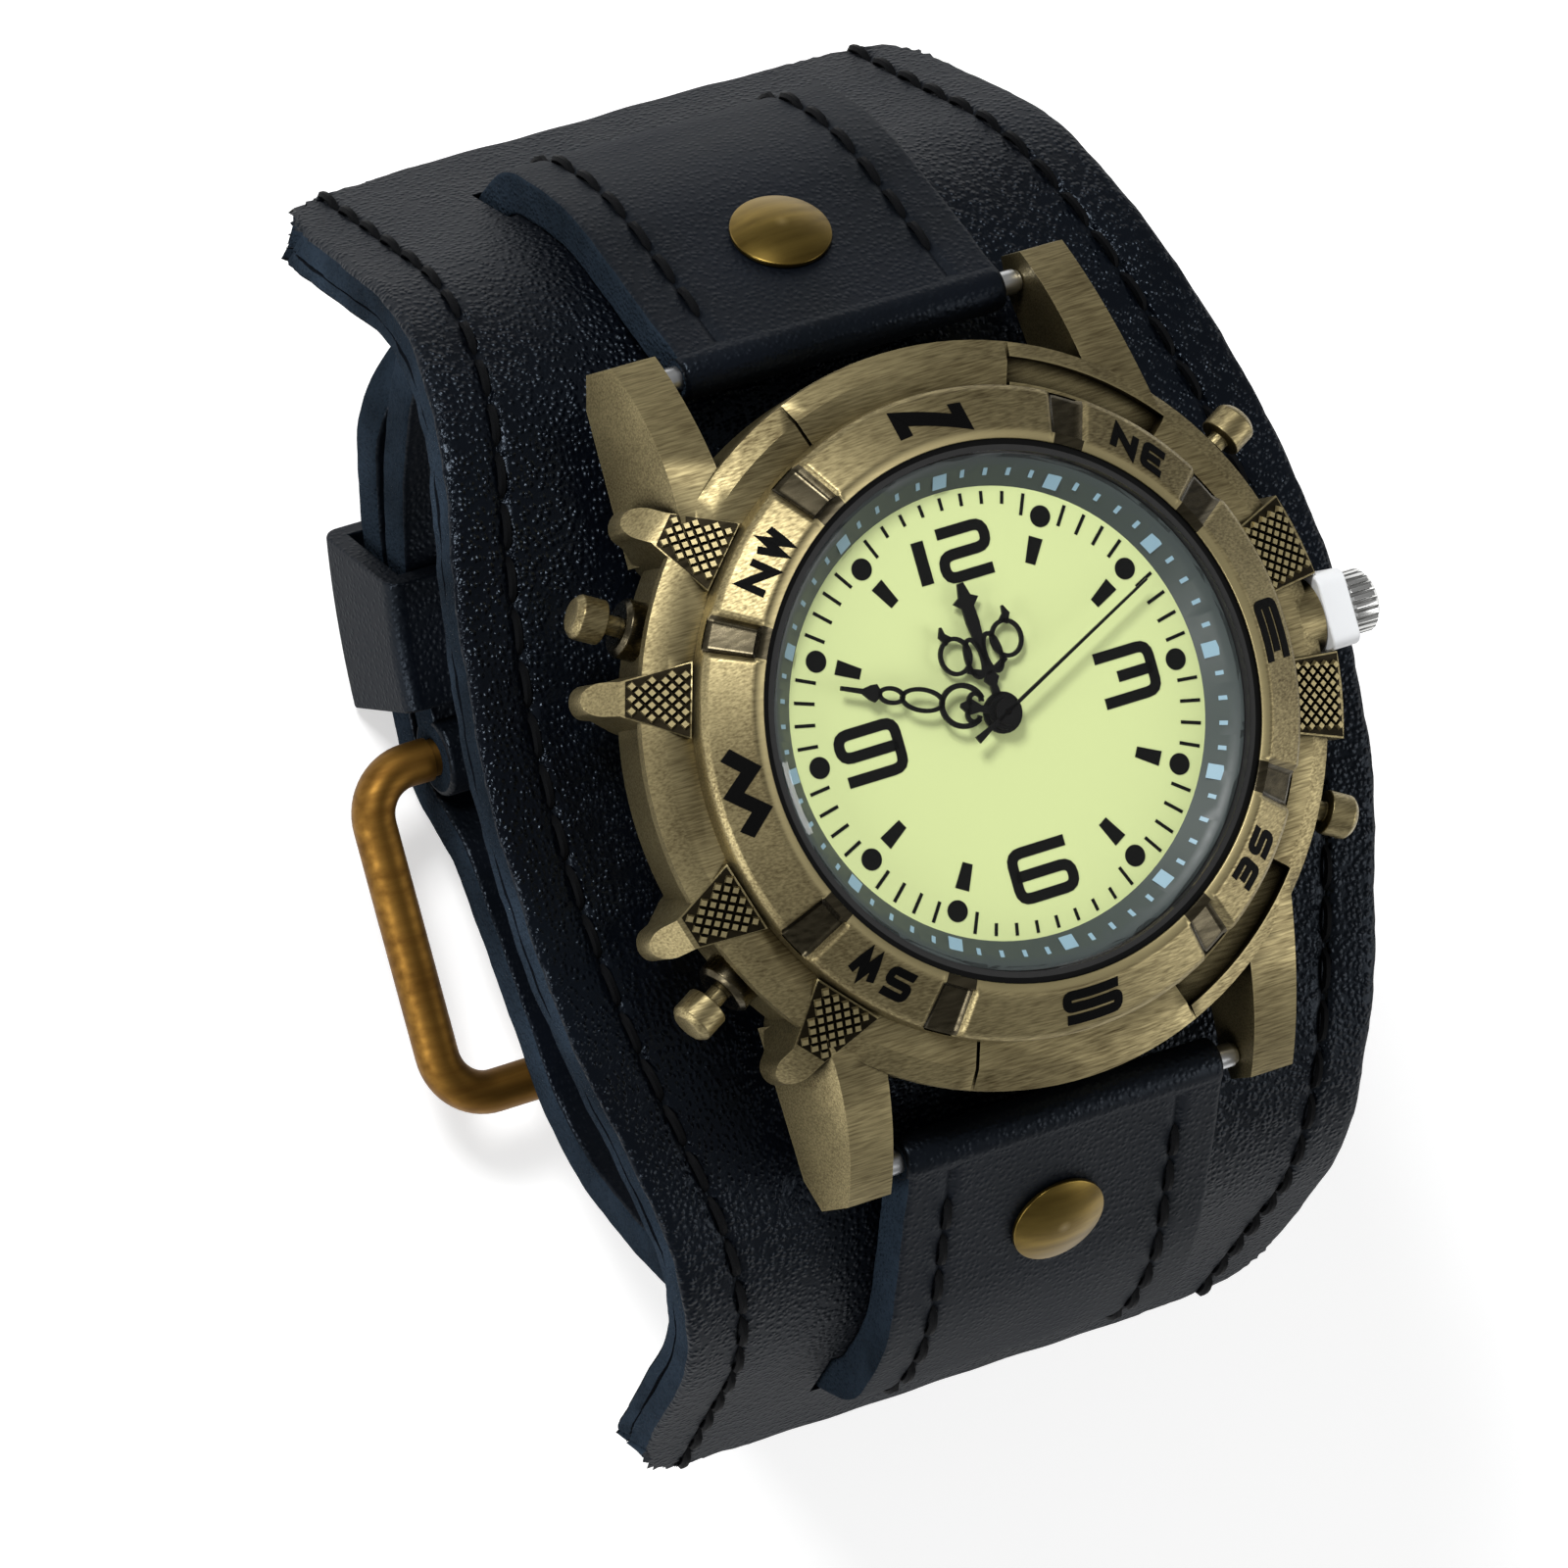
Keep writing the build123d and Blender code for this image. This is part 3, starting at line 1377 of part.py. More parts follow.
def battery_clamp():
    """Spring strip under the battery, held by the screw at its end."""
    high = battery_top - battery_height
    low = high - clamp_thickness
    x, y = pillar_places[-1]
    span = math.dist((x, y), (battery_x, battery_y))
    strip = block(0, span, -clamp_half_width, clamp_half_width, low, high)
    strip += disc(screw_head_radius, low, high) + Pos(span, 0, 0) * disc(2 * clamp_half_width, low, high)
    strip -= disc(screw_radius + run_gap, low - overrun, high + overrun)
    return at((x, y), Rot(0, 0, direction_of((x, y), (battery_x, battery_y))) * strip)


def setting_lever():
    """Lever whose peg holds the stem by its groove."""
    high = plate_base - run_gap
    body = block(lever_left, lever_right, lever_near, bearing_half / 2, high - lever_thickness, high)
    middle = (lever_left + lever_right) / 2
    peg_low = stem_height + stem_radius - stem_groove + run_gap
    return body + Pos(middle, 0, 0) * disc(lever_peg, peg_low, high)


def yoke():
    """Spring lever whose finger rides in the pinion's groove."""
    high = plate_base - run_gap
    body = block(yoke_left, yoke_right, yoke_near, yoke_far, high - lever_thickness, high)
    waist = clutch_end + clutch_length / 2
    finger_half = clutch_groove / 2 - run_gap
    finger_near = -clutch_radius - lever_thickness
    body += block(waist - finger_half, waist + finger_half, finger_near, -clutch_groove_radius - run_gap, stem_height, high)
    return body


def hand_bar(start, end, half_start, half_end, low):
    """Flat tapering bar along X."""
    points = [(start, -half_start), (end, -half_end), (end, half_end), (start, half_start)]
    return plate(points, low, low + hand_thickness)


def hand_loop(middle_x, middle_y, half_length, half_width, low):
    """Flat elliptical loop of even width, long along X."""
    outer = Ellipse(half_length, half_width)
    inner = Ellipse(half_length - hand_wire, half_width - hand_wire)
    return Pos(middle_x, middle_y, low) * extrude(outer - inner, amount=hand_thickness)


def hand_blank(boss, reach, loops, bars, low):
    """Openwork hand along X: a boss, elliptical loops and flat bars, sized as shares of its reach."""
    body = disc(boss, low, low + hand_thickness)
    for along, aside_share, length, width in loops:
        for side in (-1, 1) if aside_share else (1,):
            body += hand_loop(reach * along, side * reach * aside_share, reach * length, reach * width, low)
    for start, end, half, half_end in bars:
        body += hand_bar(reach * start, reach * end, reach * half, reach * half_end, low)
    return body


def hour_hand():
    """Openwork hour hand: a stem with side loops and a spade tip."""
    low = hour_hand_base
    body = hand_blank(hour_boss, hour_hand_reach, hour_loop_shares, hour_bar_shares, low)
    body -= disc(hour_pipe, low - overrun, low + overrun)
    return Rot(0, 0, hour_hand_angle) * body


def minute_hand():
    """Openwork minute hand: a chain of loops that shrinks towards a narrow tip."""
    low = minute_hand_base
    body = hand_blank(minute_boss, minute_hand_reach, minute_loop_shares, minute_bar_shares, low)
    body -= disc(cannon_pipe, low - overrun, low + overrun)
    return Rot(0, 0, minute_hand_angle) * body


def second_hand():
    low = second_hand_base
    half = second_hand_width / 2
    body = disc(second_boss, low, low + hand_thickness)
    body += hand_bar(-second_tail_reach, second_hand_reach, half, half * second_taper_share, low)
    body -= disc(seconds_arbor, low - overrun, low + overrun)
    return Rot(0, 0, second_hand_angle) * body


def all_parts():
    """Every piece by its name."""
    parts = {
        "cuff_grain_layer": cuff_layer(-grain_layer, 0),
        "cuff_lining": cuff_layer(-cuff_thickness, -grain_layer),
        "strap_upper": strap_upper(),
        "strap_lower": strap_lower(),
        "strap_keeper": keeper(),
        "rivet_caps": rivet_caps(),
        "rivet_feet": rivet_feet(),
        "buckle_frame": buckle_frame(),
        "buckle_tongue": buckle_tongue(),
        "spring_bars": spring_bars(),
        "case_body": case_body(),
        "bezel": bezel(),
        "bezel_spring": bezel_spring(),
        "crystal": crystal(),
        "crystal_gasket": crystal_gasket(),
        "chapter_ring": chapter_ring(),
        "dial": dial(),
        "movement_holder": movement_holder(),
        "case_back": case_back(),
        "back_gasket": back_gasket(),
        "crown_tube": crown_tube(),
        "crown": crown(),
        "winding_stem": stem(),
        "sliding_pinion": sliding_pinion(),
        "crown_stopper": crown_stopper(),
        "pusher_sleeves": [pusher_sleeve(angle) for angle in pusher_places.values()],
        "main_plate": main_plate(),
        "train_bridge": train_bridge(),
        "bridge_screws": bridge_screws(),
        "stator": stator(),
        "coil_core": coil_core(),
        "coil": coil(),
        "circuit_board": circuit_board(),
        "quartz_can": quartz_can(),
        "battery": battery(),
        "battery_clamp": battery_clamp(),
        "setting_lever": setting_lever(),
        "yoke": yoke(),
        "rotor": rotor(),
        "fifth_wheel": fifth_wheel(),
        "seconds_wheel": seconds_wheel(),
        "third_wheel": third_wheel(),
        "centre_wheel": centre_wheel(),
        "cannon_pinion": cannon_pinion(),
        "minute_wheel": minute_wheel(),
        "hour_wheel": hour_wheel(),
        "setting_wheel": setting_wheel(),
        "hour_hand": hour_hand(),
        "minute_hand": minute_hand(),
        "second_hand": second_hand(),
    }
    for name, angle in pusher_places.items():
        parts[name] = pusher(angle)
    return parts


def joined(shape):
    """A single piece, or several separate pieces as one group."""
    return Compound(children=shape) if isinstance(shape, list) else shape


parts = {name: joined(shape) for name, shape in all_parts().items()}
lift = -min(shape.bounding_box().min.Z for shape in parts.values())
os.makedirs("parts", exist_ok=True)
for name, shape in parts.items():
    export_step(Pos(0, 0, lift) * shape, f"parts/{name}.step")
print("height of the dial's face:", round(lift, 4))
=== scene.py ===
# %% [markdown]
# Cuff watch: a round brass-coloured case on a wide leather cuff.
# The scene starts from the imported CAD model. Leather, prints, letters and knurling
# are worked out here with numpy, and the hard pieces get softened copies.

import math
from functools import partial

import bmesh
import bpy
import numpy as np
from mathutils import Matrix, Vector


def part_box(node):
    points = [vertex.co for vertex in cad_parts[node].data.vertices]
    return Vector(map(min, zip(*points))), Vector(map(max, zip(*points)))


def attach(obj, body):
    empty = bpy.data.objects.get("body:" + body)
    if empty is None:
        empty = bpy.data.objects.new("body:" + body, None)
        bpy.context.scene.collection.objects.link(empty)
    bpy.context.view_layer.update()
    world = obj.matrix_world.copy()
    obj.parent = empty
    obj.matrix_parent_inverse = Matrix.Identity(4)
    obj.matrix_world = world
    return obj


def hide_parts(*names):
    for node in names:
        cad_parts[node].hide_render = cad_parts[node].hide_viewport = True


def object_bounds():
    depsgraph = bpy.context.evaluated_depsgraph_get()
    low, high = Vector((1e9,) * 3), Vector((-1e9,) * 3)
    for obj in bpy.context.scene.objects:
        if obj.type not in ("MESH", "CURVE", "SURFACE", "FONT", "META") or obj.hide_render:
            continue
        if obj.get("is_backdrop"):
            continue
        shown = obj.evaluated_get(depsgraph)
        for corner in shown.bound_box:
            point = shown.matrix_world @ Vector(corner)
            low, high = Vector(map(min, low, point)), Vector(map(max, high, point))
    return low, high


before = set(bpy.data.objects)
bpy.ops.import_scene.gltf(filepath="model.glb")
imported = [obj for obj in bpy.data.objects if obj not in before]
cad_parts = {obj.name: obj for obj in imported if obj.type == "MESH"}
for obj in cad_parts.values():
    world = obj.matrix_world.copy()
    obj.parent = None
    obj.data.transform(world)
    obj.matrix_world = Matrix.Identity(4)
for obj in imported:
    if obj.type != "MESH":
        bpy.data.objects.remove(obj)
cad_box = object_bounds()
MM = 0.001
DIAL_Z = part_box("dial")[1][2] / MM
print("dial face at", round(DIAL_Z, 4), "mm")


# %% [markdown]
# All sizes below are in millimetres about the dial's centre, as a watchmaker would
# draw them, and one function takes them to metres above the floor. Colours are written
# as sRGB hex, as on a paint card, and one function makes them linear light.

# %% From drawing millimetres to metres, and from hex to linear colour
def to_metres(points):
    """Scales drawing points to metres and lifts them by the height of the dial's face."""
    return (np.asarray(points, dtype=float) + [0.0, 0.0, DIAL_Z]) * MM


def linear(hex_colour):
    """An sRGB hex colour as linear RGBA: c / 12.92 up to 0.04045, else ((c + 0.055) / 1.055) ** 2.4."""
    values = np.array([int(hex_colour[i : i + 2], 16) for i in (1, 3, 5)]) / 255
    curved = ((values + 0.055) / 1.055) ** 2.4
    return (*np.where(values <= 0.04045, values / 12.92, curved).tolist(), 1.0)


print("mid grey in linear light:", round(linear("#808080")[0], 3))


# %% [markdown]
# A material is a small network. One function adds a node, sets it and joins it, so that
# each finish below reads from its pattern to its surface. Nearly all finishes end alike:
# a relief in millimetres under one general shader.

# %% Nodes and materials
def add_node(tree, kind, settings=None, links=None):
    """Adds a node, sets its fields, sockets or colour stops, and joins sockets or nodes' first outputs."""
    node = tree.nodes.new("ShaderNode" + kind)
    for key, value in (settings or {}).items():
        if key == "stops":
            for element, (position, colour) in zip(node.color_ramp.elements, value):
                element.position, element.color = position, linear(colour)
        elif isinstance(key, str) and hasattr(node, key):
            setattr(node, key, value)
        else:
            node.inputs[key].default_value = value
    for key, source in (links or {}).items():
        if isinstance(source, bpy.types.Node):
            source = next(output for output in source.outputs if output.enabled)
        tree.links.new(source, node.inputs[key])
    return node


def new_material(name):
    """An empty material, and the function that adds nodes to it."""
    material = bpy.data.materials.new(name)
    material.use_nodes = True
    material.node_tree.nodes.clear()
    return material, partial(add_node, material.node_tree)


def surfaced(material, settings, links, relief, relief_mm, strength=1.0):
    """Ends a material with a relief, the Principled shader over it, and the output."""
    add = partial(add_node, material.node_tree)
    bump = add("Bump", {"Strength": strength, "Distance": relief_mm * MM}, {"Height": relief})
    shader = add("BsdfPrincipled", settings, {**links, "Normal": bump})
    add("OutputMaterial", links={"Surface": shader})
    return material


# %% [markdown]
# The cuff is chrome-tanned cowhide with a glossy pigmented coat. Its grain is a field of
# round pebbles, and the gloss fades where they hide one another at a flat view. A cut
# edge and the suede side have no coat, so they are matt. A picture of leather could be
# laid on, but noise worked out in millimetres stays sharp at any distance.

# %% Leather
def leather(name, coat, shade, grain_mm, roughness, relief_mm, gloss):
    """Coated leather: a dome at each Voronoi point with fine noise over it, and a slow change of colour."""
    material, add = new_material(name)
    where = add("TexCoord").outputs["Object"]
    warp = add("TexNoise", {"Scale": 1 / (1.2 * MM), "Detail": 3.0}, {"Vector": where})
    bent = add(
        "VectorMath", {"operation": "MULTIPLY_ADD", 1: (0.0004, 0.0004, 0.0004)},
        {0: warp.outputs["Color"], 2: where},
    )
    pebble = add("TexVoronoi", {"Scale": 1 / (grain_mm * MM), "Randomness": 0.8}, {"Vector": bent})
    dome = add(
        "MapRange",
        {"interpolation_type": "SMOOTHSTEP", "From Max": 0.65, "To Min": 1.0, "To Max": 0.0},
        {"Value": pebble},
    )
    fine = add("TexNoise", {"Scale": 1 / (0.4 * grain_mm * MM), "Detail": 3.0}, {"Vector": where})
    relief = add("Math", {"operation": "MULTIPLY_ADD", 1: 0.25}, {0: fine, 2: dome})
    slow = add("TexNoise", {"Scale": 1 / (9 * MM), "Detail": 3.0}, {"Vector": where})
    colour = add("ValToRGB", {"stops": [(0.3, shade), (0.7, coat)]}, {"Fac": slow})
    wear = add("MapRange", {"To Min": roughness * 0.8, "To Max": roughness * 1.25}, {"Value": slow})
    flat_view = add("LayerWeight", {"Blend": 0.4}).outputs["Facing"]
    dull = add("Math", {"operation": "MULTIPLY_ADD", 1: 0.6}, {0: flat_view, 2: wear})
    # A blue tint in the gloss makes the black coat look navy, as the real one does.
    settings = {"IOR": 1.27, "Specular IOR Level": gloss, "Specular Tint": (0.68, 0.82, 1.0, 1.0)}
    return surfaced(material, settings, {"Base Color": colour, "Roughness": dull}, relief, relief_mm)


# The grain is 0.39 mm, as on the photographed cuff. Its steep pebbles break the gloss into sparks.
grain_leather = leather("navy_black_coated_leather", "#05080e", "#030408", 0.39, 0.22, 0.08, 0.5)
strap_leather = leather("smooth_navy_black_leather", "#070a11", "#040609", 0.39, 0.28, 0.03, 0.5)
raw_edge = leather("raw_cut_leather_edge", "#2a3541", "#11171d", 0.3, 0.85, 0.12, 0.1)
lining_leather = leather("black_suede_lining", "#101318", "#080a0e", 0.3, 0.85, 0.06, 0.1)
print("leathers:", grain_leather.name, strap_leather.name, raw_edge.name, lining_leather.name)


# %% [markdown]
# Antique brass is a zinc casting with a brass plate, dipped dark and then rubbed: the
# hollows stay brown, the faces show brush lines, and the corners are bright. These could
# be painted by hand, but an ambient-occlusion term finds the hollows by itself, and the
# same term turned inside finds the corners.

# %% Metals
def patina_and_hollow_shade(name, dark, mid, bright, roughness, brush_mm, hollow_mm=0.0, along=(0.05, 1, 1), corner_mm=0.0):
    """Plated metal: brush lines and clouds between two tones, bright on corners and dark where hemmed in."""
    material, add = new_material(name)
    where = add("TexCoord").outputs["Object"]
    cloud = add("TexNoise", {"Scale": 1 / (6 * MM), "Detail": 5.0}, {"Vector": where})
    stretch = add("Mapping", {"Scale": along}, {"Vector": where})
    streak = add("TexNoise", {"Scale": 1 / (brush_mm * MM), "Detail": 4.0}, {"Vector": stretch})
    both = add("Mix", {"Factor": 0.35}, {"A": streak, "B": cloud})
    colour = add("ValToRGB", {"stops": [(0.3, mid), (0.7, bright)]}, {"Fac": both})
    corners, hollows = (True, corner_mm, bright, 0.55, 0.2), (False, hollow_mm, dark, 0.85, 0.45)
    for inside, reach_mm, tone, none_at, full_at in (corners, hollows):
        if reach_mm:
            settings = {"inside": inside, "only_local": True, "samples": 6, "Distance": reach_mm * MM}
            open_sky = add("AmbientOcclusion", settings).outputs["AO"]
            amount = add("MapRange", {"From Min": none_at, "From Max": full_at}, {"Value": open_sky})
            settings = {"data_type": "RGBA", "B": linear(tone)}
            colour = add("Mix", settings, {"Factor": amount, "A": colour})
    rough = add("MapRange", {"To Min": roughness * 1.3, "To Max": roughness * 0.8}, {"Value": streak})
    links = {"Base Color": colour, "Roughness": rough}
    return surfaced(material, {"Metallic": 1.0}, links, streak, 0.01, 0.5)


# Brush lines run along X and are drawn 0.1 to 1 mm wide, coarser than real ones, so that they show.
antique_brass = patina_and_hollow_shade(
    "antique_brass_plated_casting", "#140f07", "#4d422c", "#ab9e75", 0.43, 0.12, 1.8, (0.08, 1.0, 1.0), 0.35
)
# Painted shade: a darker, glossier copy of the antique brass for the bezel's notches and the pusher sleeves,
# where shade falls.
dark_brass = patina_and_hollow_shade("antique_brass_in_shade", "#0d0b07", "#28241a", "#5b5443", 0.26, 0.3, 0.8)
# The grooves between the knurl pyramids: near-black patina, darkened further as painted shade.
groove_patina_and_shade_brass = patina_and_hollow_shade("blackened_and_shaded_brass_in_grooves", "#050403", "#16130d", "#2c271c", 0.5, 0.3, 0.4)
buckle_brass = patina_and_hollow_shade("orange_antique_brass", "#180d04", "#5a3d18", "#8f6a30", 0.5, 0.8, 1.0, corner_mm=0.4)
rivet_brass = patina_and_hollow_shade("rubbed_antique_brass", "#20180a", "#4b3c1a", "#857039", 0.3, 1.0, 0.5)
# Nickel and steel are bright and smooth, and lacquered brass is warm and clean.
# Nickel and steel take no patina, so their darker hollows are painted shade.
silver_steel = patina_and_hollow_shade("polished_nickel_plate", "#8f8f8d", "#bdbdbb", "#dcdcda", 0.2, 0.6, 0.3)
watch_steel = patina_and_hollow_shade("brushed_stainless_steel", "#6f7071", "#a9aaab", "#c3c4c4", 0.32, 0.3, 0.3)
works_brass = patina_and_hollow_shade("lacquered_clock_brass", "#7a5c26", "#b8964f", "#cfae66", 0.28, 0.4)
print("metals:", antique_brass.name, buckle_brass.name, watch_steel.name)


# %% [markdown]
# Paint, print, plastic, rubber and thread are one colour each. A flat colour would look
# like a screen, so a faint cloud in the gloss and a very fine relief go over it.

# %% Paints and plastics
def plain(name, colour, roughness, speck_mm=0.6, relief_mm=0.005, **sockets):
    """Paint, plastic or rubber: one colour with a faint cloudiness and a fine surface."""
    material, add = new_material(name)
    where = add("TexCoord").outputs["Object"]
    fine = add("TexNoise", {"Scale": 1 / (speck_mm * MM), "Detail": 3.0}, {"Vector": where})
    rough = add("MapRange", {"To Min": roughness * 0.85, "To Max": roughness * 1.15}, {"Value": fine})
    settings = {"Base Color": linear(colour), **sockets}
    return surfaced(material, settings, {"Roughness": rough}, fine, relief_mm, 0.4)


# The dial's paint is thick and matt. Ink and lacquer reflect next to nothing, so they stay deep black.
dial_paint = plain("pale_green_luminous_paint", "#d9e6a2", 0.6, 1.5, 0.01)
print_black = plain("black_dial_print", "#060706", 0.7, **{"Specular IOR Level": 0.05})
inlay_black = plain("black_enamel_in_letters", "#030303", 0.6, 0.3, 0.04, **{"Specular IOR Level": 0.05})
hand_black = plain("black_lacquered_hands", "#040404", 0.35, **{"Specular IOR Level": 0.15})
slate_paint = plain("slate_chapter_paint", "#3d4645", 0.45)
mark_blue = plain("pale_blue_chapter_print", "#8fb0c2", 0.5)
# Polyethylene is milky: light goes 2 mm in, which softens its edges.
MILKY = {"Subsurface Weight": 0.2, "Subsurface Radius": (0.002, 0.002, 0.002)}
stopper_white = plain("white_polyethylene", "#eef0f2", 0.4, **MILKY)
# Rubber and waxed thread are dull, the board's lacquer and the wire's enamel are glossier.
black_rubber = plain("black_gasket_rubber", "#121212", 0.7)
thread_black = plain("waxed_black_thread", "#030406", 0.7, 0.15, 0.04, **{"Specular IOR Level": 0.1})
board_green = plain("lacquered_circuit_board", "#1e5a33", 0.4)
copper_wire = plain("enamelled_copper_wire", "#b5663a", 0.35, 0.15, 0.03, Metallic=0.9)
magnet_grey = plain("sintered_magnet", "#4a4a4c", 0.5)
print("paints and plastics:", dial_paint.name, stopper_white.name)


# %% [markdown]
# The crystal is a flat mineral glass. Refraction would bend the dial by a hair and cost
# time, so the glass only lets light through and mirrors it more at a flat view.

# %% Glass
def clear_glass(name):
    """Thin clear glass: see-through, with a mirror gloss on its outer side that grows at grazing angles."""
    material, add = new_material(name)
    inner_side = add("NewGeometry").outputs["Backfacing"]
    outer_side = add("Math", {"operation": "SUBTRACT", 0: 1.0}, {1: inner_side})
    mirror = add("Fresnel", {"IOR": 1.45})
    amount = add("Math", {"operation": "MULTIPLY"}, {0: mirror, 1: outer_side})
    clear = add("BsdfTransparent", {"Color": (1.0, 1.0, 1.0, 1.0)})
    gloss = add("BsdfGlossy", {"Roughness": 0.03})
    both = add("MixShader", links={0: amount, 1: clear, 2: gloss})
    add("OutputMaterial", links={"Surface": both})
    return material


mineral_glass = clear_glass("clear_mineral_glass")
print("glass:", mineral_glass.name)


# %% [markdown]
# Helpers that put numpy arrays into meshes. A surface is a grid of points; a closed
# grid joins its last row or column to the first. A hard piece takes its shape from the
# CAD model, whose edges are knife-sharp, so a copy of it gets the small bevels of a casting.

# %% Mesh helpers
def put_in_scene(name, data):
    """An object for a mesh, a lamp or a camera, linked to the scene."""
    obj = bpy.data.objects.new(name, data)
    bpy.context.scene.collection.objects.link(obj)
    return obj


def make_object(
    name, vertices, faces, material, body="watch", node=None, smooth=True, edge=None, on_edge=None
):
    """A piece from drawing points and faces, riding on a body; on_edge marks faces of the edge material."""
    mesh = bpy.data.meshes.new(name)
    mesh.from_pydata(to_metres(vertices).tolist(), [], faces if isinstance(faces, list) else faces.tolist())
    mesh.materials.append(material)
    if edge is not None:
        mesh.materials.append(edge)
        mesh.polygons.foreach_set("material_index", np.asarray(on_edge, dtype=np.int32))
    mesh.polygons.foreach_set("use_smooth", np.full(len(mesh.polygons), smooth))
    mesh.update()
    obj = put_in_scene(name, mesh)
    if smooth:
        mesh.set_sharp_from_angle(angle=math.radians(50))
    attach(obj, body)
    if node:
        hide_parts(node)
    return obj


def face_outwards(mesh):
    """Turns the faces of closed shells outwards."""
    work = bmesh.new()
    work.from_mesh(mesh)
    bmesh.ops.recalc_face_normals(work, faces=work.faces)
    work.to_mesh(mesh)
    work.free()


def around(count):
    """Angles of a full turn in equal steps."""
    return np.linspace(0, 2 * math.pi, count + 1)[:-1]


def grid_faces(rows, columns, close_rows=False, close_columns=False, flip=False):
    """Quads of a grid numbered row by row: corners (i, j), (i, j+1), (i+1, j+1), (i+1, j)."""
    i = np.arange(rows if close_rows else rows - 1)[:, None]
    j = np.arange(columns if close_columns else columns - 1)[None, :]
    i2, j2 = (i + 1) % rows, (j + 1) % columns
    quads = np.stack([i * columns + j, i * columns + j2, i2 * columns + j2, i2 * columns + j], axis=-1)
    quads = quads.reshape(-1, 4)
    return quads[:, ::-1] if flip else quads


MERGE_WITHIN, FLAT_WITHIN = 0.002 * MM, math.radians(0.5)


def dressed(node, material, body, bevel, angle=35):
    """A softened CAD node: doubles merged, flat faces joined, edges bevelled; it replaces the node."""
    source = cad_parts[node]
    mesh = bpy.data.meshes.new(node + "_finished")
    work = bmesh.new()
    work.from_mesh(source.data)
    bmesh.ops.transform(work, matrix=source.matrix_world, verts=work.verts)
    bmesh.ops.remove_doubles(work, verts=work.verts, dist=MERGE_WITHIN)
    bmesh.ops.dissolve_limit(work, angle_limit=FLAT_WITHIN, verts=work.verts, edges=work.edges)
    work.to_mesh(mesh)
    work.free()
    mesh.materials.clear()
    mesh.materials.append(material)
    mesh.polygons.foreach_set("use_smooth", np.full(len(mesh.polygons), True))
    mesh.set_sharp_from_angle(angle=math.radians(angle))
    obj = put_in_scene(mesh.name, mesh)
    if bevel:
        soft = obj.modifiers.new("softened edges", "BEVEL")
        soft.width = bevel * MM
        soft.segments = 2
        soft.limit_method = "ANGLE"
        soft.angle_limit = math.radians(angle)
        soft.use_clamp_overlap = True
        soft.harden_normals = True
    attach(obj, body)
    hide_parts(node)
    return obj


# %% [markdown]
# Every leather part follows a trail in the YZ plane: runs and bends, as a strap maker
# would describe it. A point is laid beside the trail by its distance along, its place
# across and its height above. Splines would do too, but runs and bends keep real sizes.

# %% Trails
def trail(start, steps, spacing=0.1):
    """Samples along runs (turn 0) and bends (radius, turn): columns distance, y, z, heading in radians."""
    y, z, heading = start
    rows, total = [np.array([[0.0, y, z, math.radians(heading)]])], 0.0
    for size, turn in steps:
        old, new = math.radians(heading), math.radians(heading + turn)
        length = size if turn == 0 else size * abs(new - old)
        t = np.linspace(0, 1, max(3, int(length / spacing)))[1:]
        angle = old + (new - old) * t
        if turn == 0:
            ys, zs = y + size * t * math.cos(old), z - size * t * math.sin(old)
        else:
            side = math.copysign(size, turn)
            ys = y + side * (np.sin(angle) - math.sin(old))
            zs = z + side * (np.cos(angle) - math.cos(old))
        rows.append(np.stack([total + length * t, ys, zs, angle], axis=1))
        total += length
        y, z, heading = ys[-1], zs[-1], heading + turn
    return np.concatenate(rows)


def end_of(steps_trail):
    """Last place of a trail as (y, z, heading in degrees)."""
    return steps_trail[-1, 1], steps_trail[-1, 2], math.degrees(steps_trail[-1, 3])


def beside(place, distance):
    """The place at a distance along the outward normal (sin h, cos h)."""
    h = math.radians(place[2])
    return place[0] + distance * math.sin(h), place[1] + distance * math.cos(h)


def lay(path, along, across, above, mirror=False):
    """Points beside a trail: the place at a distance, plus above times its outward normal (sin h, cos h)."""
    along, across, above = np.broadcast_arrays(along, across, above)
    y = np.interp(along, path[:, 0], path[:, 1])
    z = np.interp(along, path[:, 0], path[:, 2])
    h = np.interp(along, path[:, 0], path[:, 3])
    y = y + above * np.sin(h)
    z = z + above * np.cos(h)
    return np.stack([across, -y if mirror else y, z], axis=-1)


def two_bends(place, split, end):
    """Radii of two bends that lead from a place to an end and change over at the split heading."""
    (y, z, h0), (y1, z1, h2) = place, end
    s = [math.sin(math.radians(a)) for a in (h0, split, h2)]
    c = [math.cos(math.radians(a)) for a in (h0, split, h2)]
    turns = [[s[1] - s[0], s[2] - s[1]], [c[1] - c[0], c[2] - c[1]]]
    first, second = np.linalg.solve(turns, [y1 - y, z1 - z])
    return [(first, split - h0), (second, h2 - split)]


# %% [markdown]
# The cuff is an arch, a tight bend and a straight skirt on each side. A strap starts at
# its spring bar, lies on the cuff, dives through its slot and closes behind the wrist in
# two bends, whose radii are solved so that they end at the buckle. The same sizes as in
# the CAD model stand here, because the leather has to lie where its hardware is.

